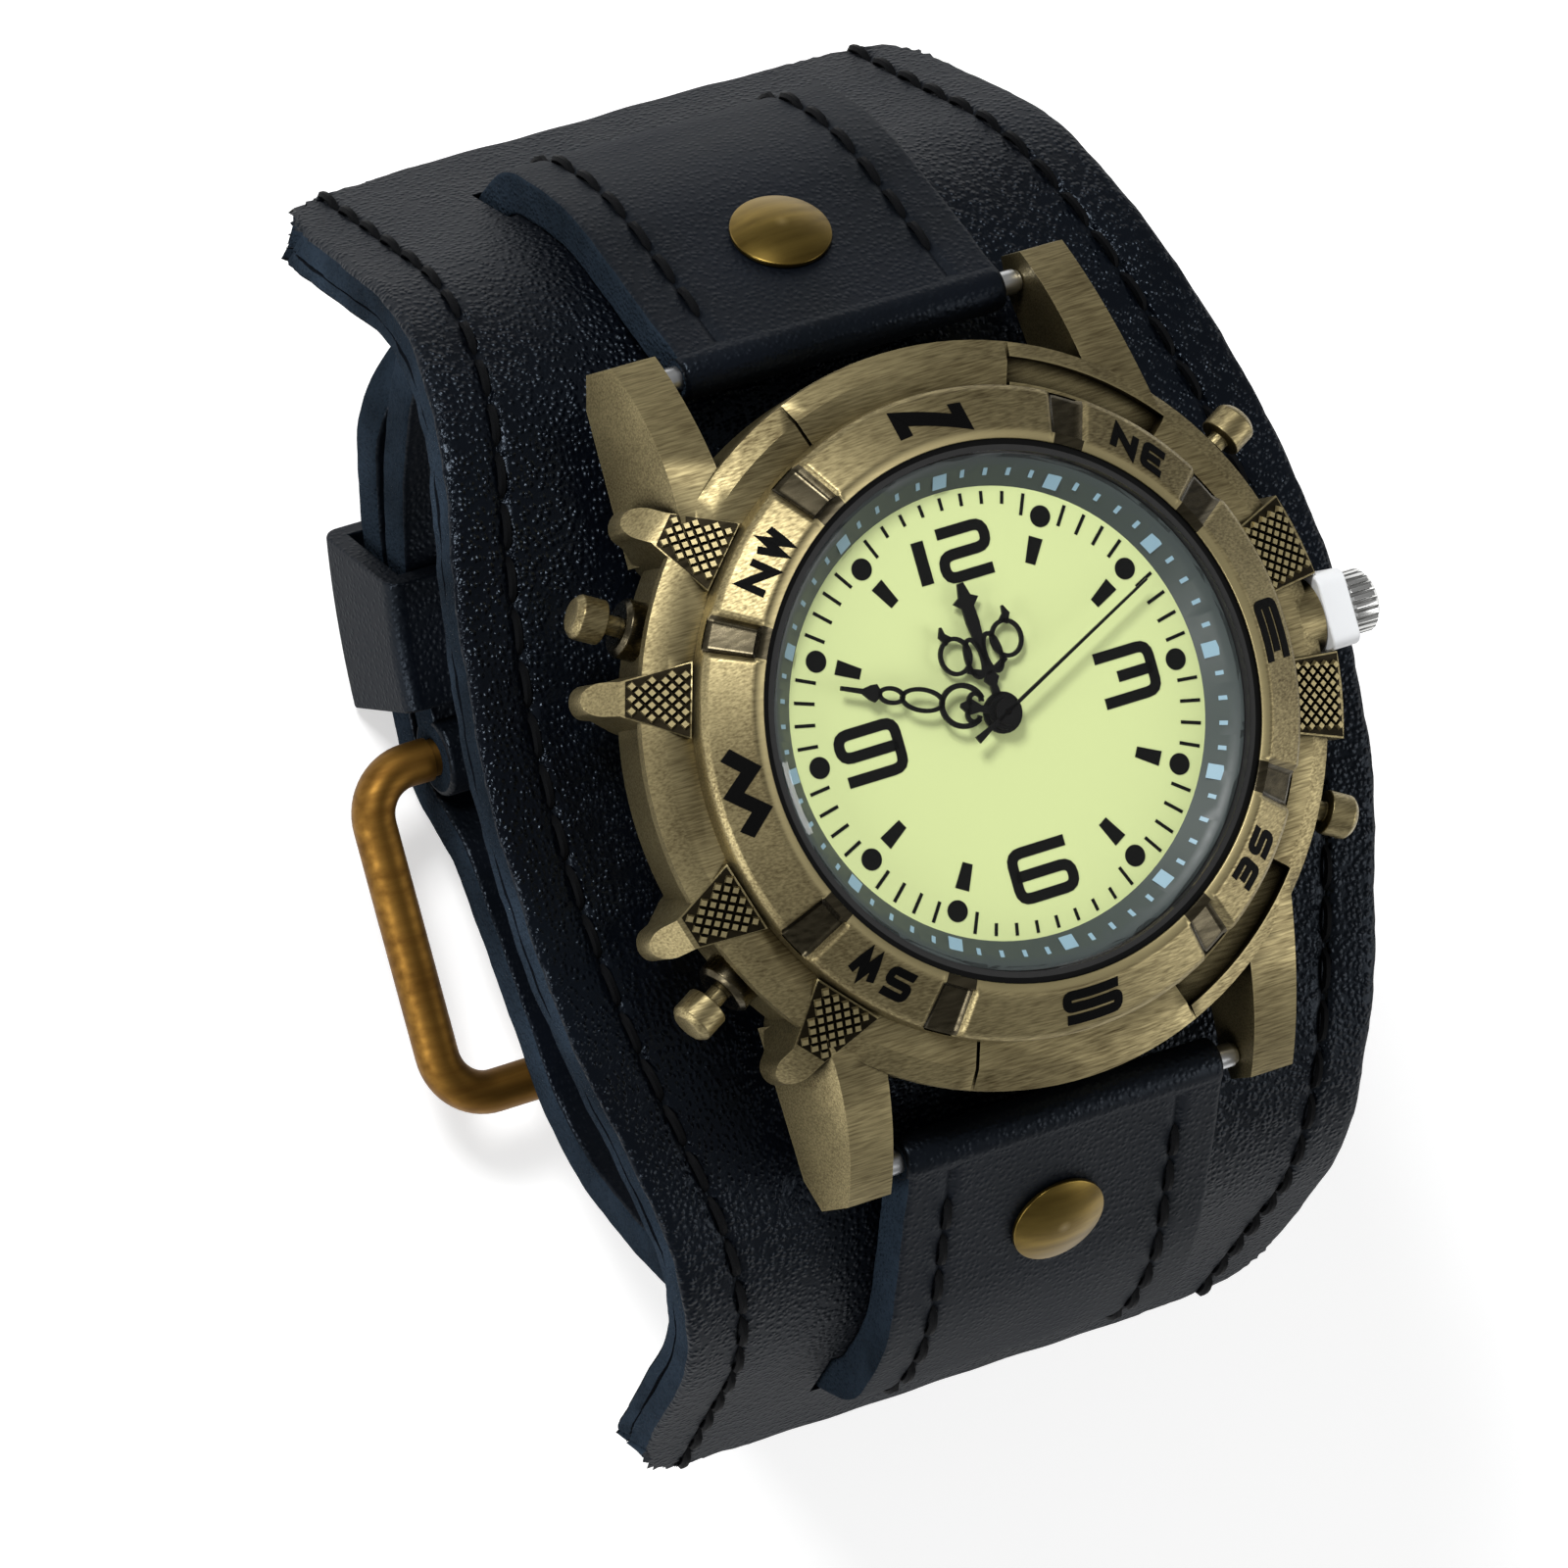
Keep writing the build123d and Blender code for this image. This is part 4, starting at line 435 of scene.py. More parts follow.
# %% The cuff's trail and the two straps' trails
ARCH, SHOULDER, SKIRT = (127.0, 10.0), (17.0, 57.0), (15.0, 0)
CUFF_TOP = -9.7
STRAP_T, STRAP_W, WIRE_R = 2.8, 10.8, 1.4
GAP, BORE_GAP, HEEL_R = 0.1, 0.05, 1.2
LIFT = GAP + STRAP_T / 2
BAR = (24.0, -7.4)
BAR_WRAP = STRAP_T / 2 + BORE_GAP
DIVE = [(1.8, 0), (5.0, 38.0), (10.0, 0)]
HEEL, FRONT = (4.4, -61.2), (-17.0, -61.9)
HEEL_WRAP = HEEL_R + BORE_GAP + STRAP_T / 2
UPPER_SPLIT, UPPER_END, HEEL_STUB = 135.0, 175.0, 0.9
LOWER_SPLIT, FRONT_HEADING, LIFT_HEADING, LAND_HEADING = 130.0, 170.0, 145.0, 190.0
LIFT_BEND, EASE, TAIL_REST = 8.0, (70.0, 10.0), 8.0

cuff_path = trail((0, CUFF_TOP, 0), [ARCH, SHOULDER, SKIRT])
HALF = cuff_path[-1, 0]
middle = beside(end_of(trail((0, CUFF_TOP, 0), [ARCH])), -SHOULDER[0])
bend = SHOULDER[0] + LIFT
reach = math.dist(BAR, middle)
heading = math.degrees(math.atan2(BAR[0] - middle[0], BAR[1] - middle[1]) + math.acos(bend / reach))
strap_start = (*BAR, heading)
strap_steps = [(math.sqrt(reach**2 - bend**2), 0), (bend, ARCH[1] + SHOULDER[1] - heading)] + DIVE
strap_exit = end_of(trail(strap_start, strap_steps))
upper_bends = two_bends(strap_exit, UPPER_SPLIT, (HEEL[0] + HEEL_WRAP, HEEL[1], UPPER_END))
upper_path = trail(strap_start, strap_steps + upper_bends + [(HEEL_STUB, 0)])

front_place = (*beside((-FRONT[0], FRONT[1], FRONT_HEADING), -(WIRE_R + LIFT)), FRONT_HEADING)
LAND = HEEL_WRAP + LIFT
lift_end = beside((-HEEL[0], HEEL[1], LIFT_HEADING), LAND)
lifting = (LIFT_BEND, LIFT_HEADING - FRONT_HEADING)
easing = end_of(trail((0, 0, FRONT_HEADING), [lifting]))
f, g = math.radians(FRONT_HEADING), math.radians(LIFT_HEADING)
runs = np.linalg.solve(
    [[math.cos(f), math.cos(g)], [-math.sin(f), -math.sin(g)]],
    np.array(lift_end) - np.array(front_place[:2]) - np.array(easing[:2]),
)
lower_steps = strap_steps + two_bends(strap_exit, LOWER_SPLIT, front_place)
lower_steps += [(runs[0], 0), lifting, (runs[1], 0), (LAND, LAND_HEADING - LIFT_HEADING), EASE]
lower_steps += [(upper_bends[1][0] + STRAP_T + GAP, 360 - UPPER_SPLIT - LAND_HEADING - EASE[1])]
lower_steps += [(upper_bends[0][0] + STRAP_T + GAP, TAIL_REST)]
lower_path = trail(strap_start, lower_steps)
print("in mm: half cuff", round(HALF, 2), "straps", round(upper_path[-1, 0], 2), round(lower_path[-1, 0], 2))


# %% [markdown]
# The cuff is cut from thick leather in a waisted shape: bowed beside the case and
# narrower at the ends. Its edge is raw, so the cut wanders by a few tenths of a
# millimetre. The seam pulls a groove into the leather 3.6 mm in from the cut, so the
# grid has its lines close together there. A sculpted mesh would give the same, but the
# grid keeps the plan's real sizes.

# %% Plan of the cuff
SIDE_RADIUS, SIDE_Y, LINE_Y, WAIST_RADIUS, WIDEST = 65.0, 16.0, 24.0, 85.0, 28.5


def cuff_half_width(y):
    """Half-width at a place along: an arc of the side, a line, then a hollow arc of the waist."""
    y = np.abs(y)
    tangent = math.asin(SIDE_Y / SIDE_RADIUS)
    side = WIDEST - SIDE_RADIUS * (1 - math.cos(tangent))
    line = side - (LINE_Y - SIDE_Y) * math.tan(tangent)
    bow = WIDEST - SIDE_RADIUS + np.sqrt(SIDE_RADIUS**2 - np.minimum(y, SIDE_Y) ** 2)
    slope = side - (y - SIDE_Y) * math.tan(tangent)
    turn = np.arcsin(np.clip(math.sin(tangent) - (y - LINE_Y) / WAIST_RADIUS, -1, 1))
    waist = line - WAIST_RADIUS * (np.cos(turn) - math.cos(tangent))
    return np.where(y <= SIDE_Y, bow, np.where(y <= LINE_Y, slope, waist))


def wander(values, seed, size):
    """A smooth random line: a few sines of different pitch with seeded phases, about size high."""
    rng = np.random.default_rng(seed)
    out = np.zeros_like(values, dtype=float)
    for pitch in (0.9, 1.7, 3.1, 6.5, 14.0):
        wave = np.sin(values * 2 * math.pi / pitch + rng.uniform(0, 7))
        out += wave * rng.uniform(0.5, 1.0) * min(1, pitch / 5)
    return out * size / 2.5


CORNER = 4.0
SLOT_X = STRAP_W + 0.5
# A slot slants through the leather: SLOT_TOP is its place on the face, SLOT_LOW on the lining.
SKIRT_START = HALF - SKIRT[0]
SLOT_TOP = (SKIRT_START + 2.64, SKIRT_START + 7.72)
SLOT_LOW = (SKIRT_START + 7.26, SKIRT_START + 11.81)
BEFORE_SLOT = SLOT_TOP[0] - 6
CUFF_T, GRAIN_T = 3.2, 1.9
SEAM_IN = 3.6
FROM_EDGE = np.concatenate([
    [0, 0.04, 0.12, 0.25, 0.45, 0.7, 0.95, 1.4, 2.0, 2.6],
    SEAM_IN + np.array([-0.6, -0.4, -0.25, -0.1, 0, 0.1, 0.25, 0.4, 0.6, 1.0, 1.6, 2.4]),
])


def on_cuff(along, across, above):
    """Points on the cuff at signed distances from its middle, with the outward normals there."""
    size = np.abs(along)
    back = np.where(along < 0, -1.0, 1.0)
    points = lay(cuff_path, size, across, above)
    points[..., 1] *= back
    h = np.interp(size, cuff_path[:, 0], cuff_path[:, 3])
    normals = np.stack(np.broadcast_arrays(0.0 * points[..., 0], back * np.sin(h), np.cos(h)), axis=-1)
    return points, normals


def cuff_grid():
    """Signed distances along and places across: lines are close by the slots, the seam and the cut."""
    rows = np.concatenate([
        np.linspace(0, BEFORE_SLOT, 60)[:-1],
        np.linspace(BEFORE_SLOT, SLOT_TOP[0], 12)[:-1],
        np.linspace(*SLOT_TOP, 10)[:-1],
        np.linspace(SLOT_TOP[1], HALF - FROM_EDGE[-1], 4)[:-1],
        HALF - FROM_EDGE[::-1],
    ])
    along = np.concatenate([-rows[:0:-1], rows])[:, None]
    size = np.abs(along)
    full = cuff_half_width(np.interp(size, cuff_path[:, 0], cuff_path[:, 1]))
    near_end = np.maximum(size - (HALF - CORNER), 0)
    width = full - (CORNER - np.sqrt(np.maximum(CORNER**2 - near_end**2, 0)))
    inner = np.linspace(0, SLOT_X, 18)[None, :-1] + 0 * width
    share = np.linspace(0, 1, 10)[None, :-1]
    between = SLOT_X + share * (width - FROM_EDGE[-1] - SLOT_X)
    outer = width - FROM_EDGE[None, ::-1]
    right = np.concatenate([inner, between, outer], axis=1)
    in_slot = np.arange(right.shape[1] - 1) < inner.shape[1]
    across = np.concatenate([-right[:, :0:-1], right], axis=1)
    return along + 0 * across, across, full, in_slot


def edge_distance(side, end):
    """Distance to the cut: the nearer of side and end, or round the corner where both are near."""
    round_corner = CORNER - np.hypot(CORNER - side, CORNER - end)
    return np.where((side < CORNER) & (end < CORNER), round_corner, np.minimum(side, end))


def seam_groove(off, deep, wide):
    """The dip that a seam pulls: its depth times exp(-(distance off the seam / width) ** 2)."""
    return deep * np.exp(-((off / wide) ** 2))


FRAY_ALONG, FRAY_ACROSS, TEAR_PITCH, TEAR_WANDER = 5.0, 7.0, 2.6, 2.5
CUT_WANDER, CUT_FADE, RIM_DEEP, RIM_WIDE, RIPPLE = 0.14, 1.2, 0.4, 0.8, 0.06
CUFF_GROOVE, STRAP_GROOVE, LAYER_GAP = (0.32, 0.28), (0.28, 0.26), 0.02


def cuff_layer(name, top, bottom, material, node, seam_side, seed):
    """Closed layer between two depths: height is minus the depth, less the rim's round and the groove."""
    along, across, full, slot_columns = cuff_grid()
    size = np.abs(along)
    from_side, from_end = full - np.abs(across), HALF - size
    to_edge = edge_distance(from_side, from_end)
    frayed = np.exp(-((from_end / FRAY_ALONG) ** 2) - (from_side / FRAY_ACROSS) ** 2)
    fibres = TEAR_PITCH * (np.abs(across) - size) + wander(across, seed, TEAR_WANDER)
    tear = frayed * np.sqrt(np.abs(np.sin(fibres)))
    cut = (wander(along + across, seed, CUT_WANDER) - tear) * np.clip(1 - to_edge / CUT_FADE, 0, 1)
    rim = RIM_DEEP * (1 - np.sqrt(1 - np.clip(1 - to_edge / RIM_WIDE, 0, 1) ** 2))
    groove = seam_groove(from_side - SEAM_IN, *CUFF_GROOVE)
    ripple = RIPPLE * np.sin(across * 0.8 + 1.3 * np.sin(along * 0.21)) * np.sin(along * 0.37 + 0.4 * across)
    grids = []
    for depth, side in ((top, 1), (bottom, -1)):
        low = np.interp(size, [0, BEFORE_SLOT, *SLOT_TOP, HALF], [0, BEFORE_SLOT, *SLOT_LOW, HALF])
        place = size + (low - size) * depth / CUFF_T + cut * (0.5 + frayed)
        shown = side == seam_side
        sunk = rim * (0.9 if shown else 0.2) + (groove if shown else 0)
        above = -depth - side * sunk + (ripple if shown else 0)
        points, _ = on_cuff(np.where(along < 0, -1, 1) * place, across + np.sign(across) * cut, above)
        grids.append(points.reshape(-1, 3))
    rows, columns = across.shape
    faces = grid_faces(rows, columns, flip=True)
    middle_row = (size[:-1, 0] + size[1:, 0]) / 2
    row_cut = (middle_row > SLOT_TOP[0]) & (middle_row < SLOT_TOP[1])
    column_cut = np.concatenate([slot_columns[::-1], slot_columns])
    faces = faces[~(row_cut[:, None] & column_cut[None, :]).reshape(-1)]
    count = rows * columns
    sides = np.concatenate([faces[:, [k, (k + 1) % 4]] for k in range(4)])
    key = np.sort(sides, axis=1)
    _, index, times = np.unique(key[:, 0] * count + key[:, 1], return_index=True, return_counts=True)
    border = sides[index[times == 1]]
    walls = np.stack([border[:, 1], border[:, 0], border[:, 0] + count, border[:, 1] + count], axis=1)
    every = np.concatenate([faces, faces[:, ::-1] + count, walls])
    in_cut = np.concatenate([np.zeros(2 * len(faces)), np.ones(len(walls))])
    points = np.concatenate(grids)
    return make_object(name, points, every, material, node=node, edge=raw_edge, on_edge=in_cut)


cuff_face = cuff_layer(
    "cuff_face_leather", 0, GRAIN_T, grain_leather, "cuff_grain_layer", 1, 5
)
cuff_back = cuff_layer(
    "cuff_lining_leather", GRAIN_T + LAYER_GAP, CUFF_T, lining_leather, "cuff_lining", -1, 6
)
print("cuff faces:", len(cuff_face.data.polygons), len(cuff_back.data.polygons))


# %% [markdown]
# A strap is a closed band: its section is a rectangle with rounded corners and two seam
# grooves, carried along the trail. Near the tail's tip the half-width follows a circle.
# Leather folded round a bar is a short tube with the bar's bore in it.

# %% Straps
STRAP_SEAM, STRAP_CORNER, BAND_STEP, TIP_STEPS, TIP_LEAST = 7.8, 0.35, 0.5, 24, 0.05
QUARTER = np.linspace(0, math.pi / 2, 5)


def strap_section():
    """Closed outline, clockwise seen along the strap: flat faces, rounded corners, a dip at each seam."""
    near_seam = STRAP_SEAM + np.array([-1.0, -0.5, -0.3, -0.15, 0, 0.15, 0.3, 0.5, 1.0])
    flat = np.concatenate([np.linspace(0, 6.5, 8), near_seam, [9.4, STRAP_W - STRAP_CORNER - 0.2]])
    bend_x = STRAP_W - STRAP_CORNER * (1 - np.sin(QUARTER))
    bend_z = STRAP_T / 2 - STRAP_CORNER * (1 - np.cos(QUARTER))
    flat_z = STRAP_T / 2 - seam_groove(flat - STRAP_SEAM, *STRAP_GROOVE)
    right = np.stack([np.concatenate([flat, bend_x]), np.concatenate([flat_z, bend_z])], axis=1)
    low_right = right[::-1] * (1, -1)
    half = np.concatenate([right, low_right])
    return np.concatenate([half, half[-2:0:-1] * (-1, 1)])


def strap_band(path, mirror, tip=None):
    """Band along a trail; past tip the half-width is the root of W squared less the distance squared."""
    stops = np.arange(0, path[-1, 0], BAND_STEP)
    if tip is None:
        stops = np.append(stops, path[-1, 0])
    else:
        closing = STRAP_W * np.sin(np.linspace(0, math.pi / 2, TIP_STEPS))
        stops = np.concatenate([stops[stops < tip], tip + closing])
    section = strap_section()
    beyond = np.clip(stops - (np.inf if tip is None else tip), 0, STRAP_W)
    widths = np.sqrt(np.maximum(STRAP_W**2 - beyond**2, TIP_LEAST**2))
    share = section[None, :, 0] / STRAP_W
    on_cut = np.abs(share) > 0.96
    across = share * widths[:, None] + np.sign(share) * on_cut * wander(stops, 3, 0.08)[:, None]
    rows, columns = across.shape
    points = lay(path, stops[:, None], across, np.broadcast_to(section[None, :, 1], across.shape), mirror)
    faces = grid_faces(rows, columns, close_columns=True, flip=mirror)
    ring = np.arange(columns)
    caps = [ring.tolist(), (ring + (rows - 1) * columns)[::-1].tolist()]
    if mirror:
        caps = [cap[::-1] for cap in caps]
    is_side = np.abs(section[:, 0]) > STRAP_W - 0.15
    slots = np.concatenate([np.tile(is_side & np.roll(is_side, -1), rows - 1), [1, 1]])
    return points.reshape(-1, 3), faces.tolist() + caps, slots


def folded_loop(middle, outer, bore, low, high, mirror=False):
    """Leather round a bar along X: a rectangle with rounded outer corners, turned once about the bar."""
    across, up = STRAP_CORNER * (1 - np.sin(QUARTER)), outer - STRAP_CORNER * (1 - np.cos(QUARTER))
    profile = np.concatenate([
        np.stack([high - across, up], axis=1),
        [[high, bore], [low, bore]],
        np.stack([low + across, up], axis=1)[::-1],
    ])
    turn = around(40)[:, None]
    y = middle[0] + profile[None, :, 1] * np.sin(turn)
    z = middle[1] + profile[None, :, 1] * np.cos(turn)
    x = np.broadcast_to(profile[None, :, 0], y.shape)
    points = np.stack([x, -y if mirror else y, z], axis=-1)
    faces = grid_faces(40, len(profile), close_rows=True, close_columns=True, flip=mirror)
    # Faces 4 to 6 round the profile are its two cut sides and the bore, where the leather is raw.
    raw = (np.arange(len(profile)) >= 4) & (np.arange(len(profile)) < 7)
    return points.reshape(-1, 3), faces.tolist(), np.tile(raw, 40).astype(int)


def joined(pieces):
    """One set of vertices, faces and material slots from several."""
    vertices, faces, slots, offset = [], [], [], 0
    for points, face_list, slot_list in pieces:
        vertices.append(points)
        faces += [[corner + offset for corner in face] for face in face_list]
        slots.append(np.asarray(slot_list))
        offset += len(points)
    return np.concatenate(vertices), faces, np.concatenate(slots)


def strap_piece(name, pieces, node):
    """A strap, or a fold of one, in smooth leather with raw edges."""
    points, faces, slots = joined(pieces)
    return make_object(
        name, points, faces, strap_leather, node=node, edge=raw_edge, on_edge=slots
    )


# %% [markdown]
# A punch takes round holes out of a strap. It is a plain cylinder and a Boolean, which
# is the one tool that cuts clean holes through a finished band.

# %% Punched holes
def punch(start, end, radius, sides=24):
    """Loose cutter: a cylinder from one drawing point to another."""
    start, end = np.asarray(start, float), np.asarray(end, float)
    axis = (end - start) / np.linalg.norm(end - start)
    up = np.cross(axis, [1.0, 0.0, 0.0])
    turn = around(sides)[:, None]
    ring = radius * (np.cos(turn) * [1.0, 0.0, 0.0] + np.sin(turn) * up)
    faces = [[i, (i + 1) % sides, (i + 1) % sides + sides, i + sides] for i in range(sides)]
    faces += [list(range(sides))[::-1], list(range(sides, 2 * sides))]
    mesh = bpy.data.meshes.new("punch")
    mesh.from_pydata(to_metres(np.concatenate([start + ring, end + ring])).tolist(), [], faces)
    face_outwards(mesh)
    return put_in_scene("punch", mesh)


def bored(obj, cutters):
    """Cuts the cutters out of a piece with Booleans, keeps plain mesh, and deletes the cutters."""
    for cutter in cutters:
        step = obj.modifiers.new("hole", "BOOLEAN")
        step.operation, step.solver, step.object = "DIFFERENCE", "EXACT", cutter
    graph = bpy.context.evaluated_depsgraph_get()
    mesh = bpy.data.meshes.new_from_object(obj.evaluated_get(graph))
    obj.modifiers.clear()
    obj.data = mesh
    for cutter in cutters:
        bpy.data.objects.remove(cutter)


TONGUE_SLOT, BAR_BORE, HEEL_BORE = 1.5, 0.85, HEEL_R + BORE_GAP
tip_start = lower_path[-1, 0] - STRAP_W
folds = [folded_loop(BAR, BAR_WRAP, BAR_BORE, -STRAP_W, STRAP_W)]
for low, high in ((-STRAP_W, -TONGUE_SLOT), (TONGUE_SLOT, STRAP_W)):
    folds.append(folded_loop(HEEL, HEEL_WRAP, HEEL_BORE, low, high))
buckle_strap = strap_piece("buckle_strap", [strap_band(upper_path, False)] + folds, "strap_upper")
tail_strap = strap_piece("tail_strap", [strap_band(lower_path, True, tip_start)], "strap_lower")
strap_piece("tail_strap_fold", [folded_loop(BAR, BAR_WRAP, BAR_BORE, -STRAP_W, STRAP_W, True)], "strap_lower")

HOLES, HOLE_PITCH, HOLE_R, TONGUE_R = 4, 6.2, 1.2, 0.85
cutters = []
for number in range(1, HOLES + 1):
    spot = tip_start - number * HOLE_PITCH
    under, over = (lay(lower_path, spot, 0.0, above, True) for above in (-3.0, 3.0))
    cutters.append(punch(under, over, HOLE_R))
lean = math.atan2(FRONT[1] - HEEL[1], FRONT[0] - HEEL[0])
rest = WIRE_R + TONGUE_R + GAP / 2
tongue_end = (FRONT[0] + rest * math.sin(lean), FRONT[1] - rest * abs(math.cos(lean)))
tongue_reach = math.dist(HEEL, tongue_end)
tongue_lean = math.atan2(HEEL[1] - tongue_end[1], HEEL[0] - tongue_end[0])
for swing in (0.0, 7.0, 14.0):
    angle = tongue_lean + math.radians(swing)
    tip = (0.0, HEEL[0] - tongue_reach * math.cos(angle), HEEL[1] - tongue_reach * math.sin(angle))
    cutters.append(punch((0.0, *HEEL), tip, TONGUE_R + 2 * GAP))
bored(tail_strap, cutters)
print("straps:", len(buckle_strap.data.polygons), len(tail_strap.data.polygons))


# %% [markdown]
# The seams are sewn with thick waxed thread. Each stitch is a short tube that dives into
# the leather at both ends. A modifier could repeat one stitch along a curve, but here all
# stitches of a seam are worked out in one array, which keeps each one square to the leather.

# %% Stitches
STITCH_PITCH, THREAD_R, THREAD_SIDES, THREAD_RINGS = 3.0, 0.27, 6, 6


def stitches(name, curve, start, end):
    """Tubes along a curve: the middle line is lifted by radius * (0.55 - 2.4 * t ** 4), t from -1 to 1."""
    count = int((end - start) / STITCH_PITCH)
    pitch = (end - start) / count
    share = np.linspace(-1, 1, THREAD_RINGS)
    along = start + (np.arange(count)[:, None] + 0.5 + 0.4 * share[None, :]) * pitch
    middle, normal = curve(along)
    middle = middle + normal * (THREAD_R * (0.55 - 2.4 * share**4))[None, :, None]
    tangent = np.gradient(middle, axis=1)
    tangent /= np.linalg.norm(tangent, axis=-1, keepdims=True)
    side = np.cross(tangent, normal)
    side /= np.linalg.norm(side, axis=-1, keepdims=True)
    up = np.cross(side, tangent)
    turn = around(THREAD_SIDES)
    ring = np.cos(turn)[:, None] * side[:, :, None] + np.sin(turn)[:, None] * up[:, :, None]
    points = middle[:, :, None] + THREAD_R * ring
    tube = grid_faces(THREAD_RINGS, THREAD_SIDES, close_columns=True)
    cap = np.arange(THREAD_SIDES)
    caps = np.stack([cap[::-1], cap + THREAD_SIDES * (THREAD_RINGS - 1)])
    offsets = (np.arange(count) * THREAD_SIDES * THREAD_RINGS)[:, None, None]
    faces = (tube + offsets).reshape(-1, 4).tolist() + (caps + offsets).reshape(-1, THREAD_SIDES).tolist()
    make_object(name, points.reshape(-1, 3), faces, thread_black)
    return count


def cuff_side_seam(side, face):
    """Curve inside a long edge, on the face (1) or on the lining (-1)."""
    def curve(along):
        y = np.interp(np.abs(along), cuff_path[:, 0], cuff_path[:, 1])
        points, normals = on_cuff(along, side * (cuff_half_width(y) - SEAM_IN), 0.0 if face == 1 else -CUFF_T)
        return points, face * normals
    return curve


def strap_seam(path, side, mirror, face):
    """Curve along a strap's seam line, on its outer (1) or inner (-1) face."""
    def curve(along):
        base = lay(path, along, side * STRAP_SEAM, face * STRAP_T / 2, mirror)
        top = lay(path, along, side * STRAP_SEAM, face * STRAP_T / 2 + face, mirror)
        return base, top - base
    return curve


END_MARGIN, SEAM_START, SLOT_PASSED, UNDER_KEEPER, OVER_BUCKLE = 0.3, 3.0, 38.0, 9.0, 24.0
under_tail = upper_path[-1, 0] - UNDER_KEEPER
over_buckle = lower_path[-1, 0] - (upper_bends[0][0] + STRAP_T) * math.radians(TAIL_REST) - OVER_BUCKLE
STRAP_SEAMS = (
    ("buckle_strap_seam", upper_path, False, 1, SEAM_START, under_tail),
    ("tail_strap_seam", lower_path, True, 1, SEAM_START, tip_start),
    ("tail_strap_seam_inner", lower_path, True, -1, SLOT_PASSED, over_buckle),
    ("buckle_strap_seam_inner", upper_path, False, -1, SLOT_PASSED, under_tail),
)
SIDES = ((-1, "left"), (1, "right"))
sewn = 0
for face, face_name in ((1, "face"), (-1, "lining")):
    for side, edge_name in SIDES:
        seam = cuff_side_seam(side, face)
        sewn += stitches(f"cuff_seam_{face_name}_{edge_name}", seam, END_MARGIN - HALF, HALF - END_MARGIN)
for side, edge_name in SIDES:
    for seam_name, path, mirror, face, start, end in STRAP_SEAMS:
        sewn += stitches(f"{seam_name}_{edge_name}", strap_seam(path, side, mirror, face), start, end)
print("stitches:", sewn)


# %% [markdown]
# Prints, letters and the openwork hands are all flat strokes of even width. A stroke
# could come from a font, but the rounded square figures are drawn here as lines with
# rounded corners, so that their size and weight are known.

# %% Flat strokes
def round_corners(points, radius, steps=5):
    """Each inner corner becomes a quadratic curve between points radius before and after it."""
    points = np.asarray(points, dtype=float)
    out = [points[:1]]
    for before, corner, after in zip(points[:-2], points[1:-1], points[2:]):
        back, on = before - corner, after - corner
        start = corner + back * min(0.5, radius / np.linalg.norm(back))
        end = corner + on * min(0.5, radius / np.linalg.norm(on))
        t = np.linspace(0, 1, steps)[:, None]
        out.append((1 - t) ** 2 * start + 2 * t * (1 - t) * corner + t**2 * end)
    out.append(points[-1:])
    return np.concatenate(out)


def finer(points, step):
    """The same line with points no further apart than step."""
    rows = [points[:1]]
    for start, end in zip(points[:-1], points[1:]):
        count = max(1, int(math.ceil(np.linalg.norm(end - start) / step)))
        rows.append(start + (end - start) * (np.arange(1, count + 1) / count)[:, None])
    return np.concatenate(rows)


def stroke(points, half, place, thickness=0.04, closed=False):
    """A stroke: borders at plus and minus half along each point's mitred normal, put by place(x, y, h)."""
    points = np.asarray(points, dtype=float)
    half = np.broadcast_to(np.asarray(half, dtype=float), len(points))
    following = np.roll(points, -1, axis=0) - points
    if not closed:
        following[-1] = following[-2]
    following /= np.linalg.norm(following, axis=1, keepdims=True)
    previous = np.roll(following, 1, axis=0)
    if not closed:
        previous[0] = following[0]
    normal = np.stack([-following[:, 1], following[:, 0]], axis=1)
    mitre = normal + np.stack([-previous[:, 1], previous[:, 0]], axis=1)
    mitre /= np.linalg.norm(mitre, axis=1, keepdims=True)
    mitre /= np.maximum((mitre * normal).sum(axis=1), 0.45)[:, None]
    left, right = points + mitre * half[:, None], points - mitre * half[:, None]
    flat = np.stack([left, right, right, left], axis=1)
    height = np.broadcast_to([thickness, thickness, 0.0, 0.0], flat.shape[:2])
    vertices = place(flat[..., 0], flat[..., 1], height).reshape(-1, 3)
    rows = len(points)
    faces = grid_faces(rows, 4, close_rows=closed, close_columns=True).tolist()
    if not closed:
        faces += [[0, 1, 2, 3], [4 * rows - 1, 4 * rows - 2, 4 * rows - 3, 4 * rows - 4]]
    return vertices, faces, np.zeros(len(faces))


def dot(x, y, radius, place, thickness=0.04, sides=24):
    """Flat disc with straight sides."""
    xs, ys = x + radius * np.cos(around(sides)), y + radius * np.sin(around(sides))
    vertices = np.concatenate([place(xs, ys, 0 * xs + thickness), place(xs, ys, 0 * xs)])
    ring = list(range(sides))
    faces = [ring, [i + sides for i in reversed(ring)]]
    faces += [[i, i + sides, (i + 1) % sides + sides, (i + 1) % sides] for i in ring]
    return vertices, faces, np.zeros(len(faces))


def built(name, pieces, material, body="watch", node=None):
    """One object from several strokes and dots, its faces turned outwards."""
    points, faces, _ = joined(pieces)
    obj = make_object(name, points, faces, material, body, node, smooth=False)
    face_outwards(obj.data)
    return obj


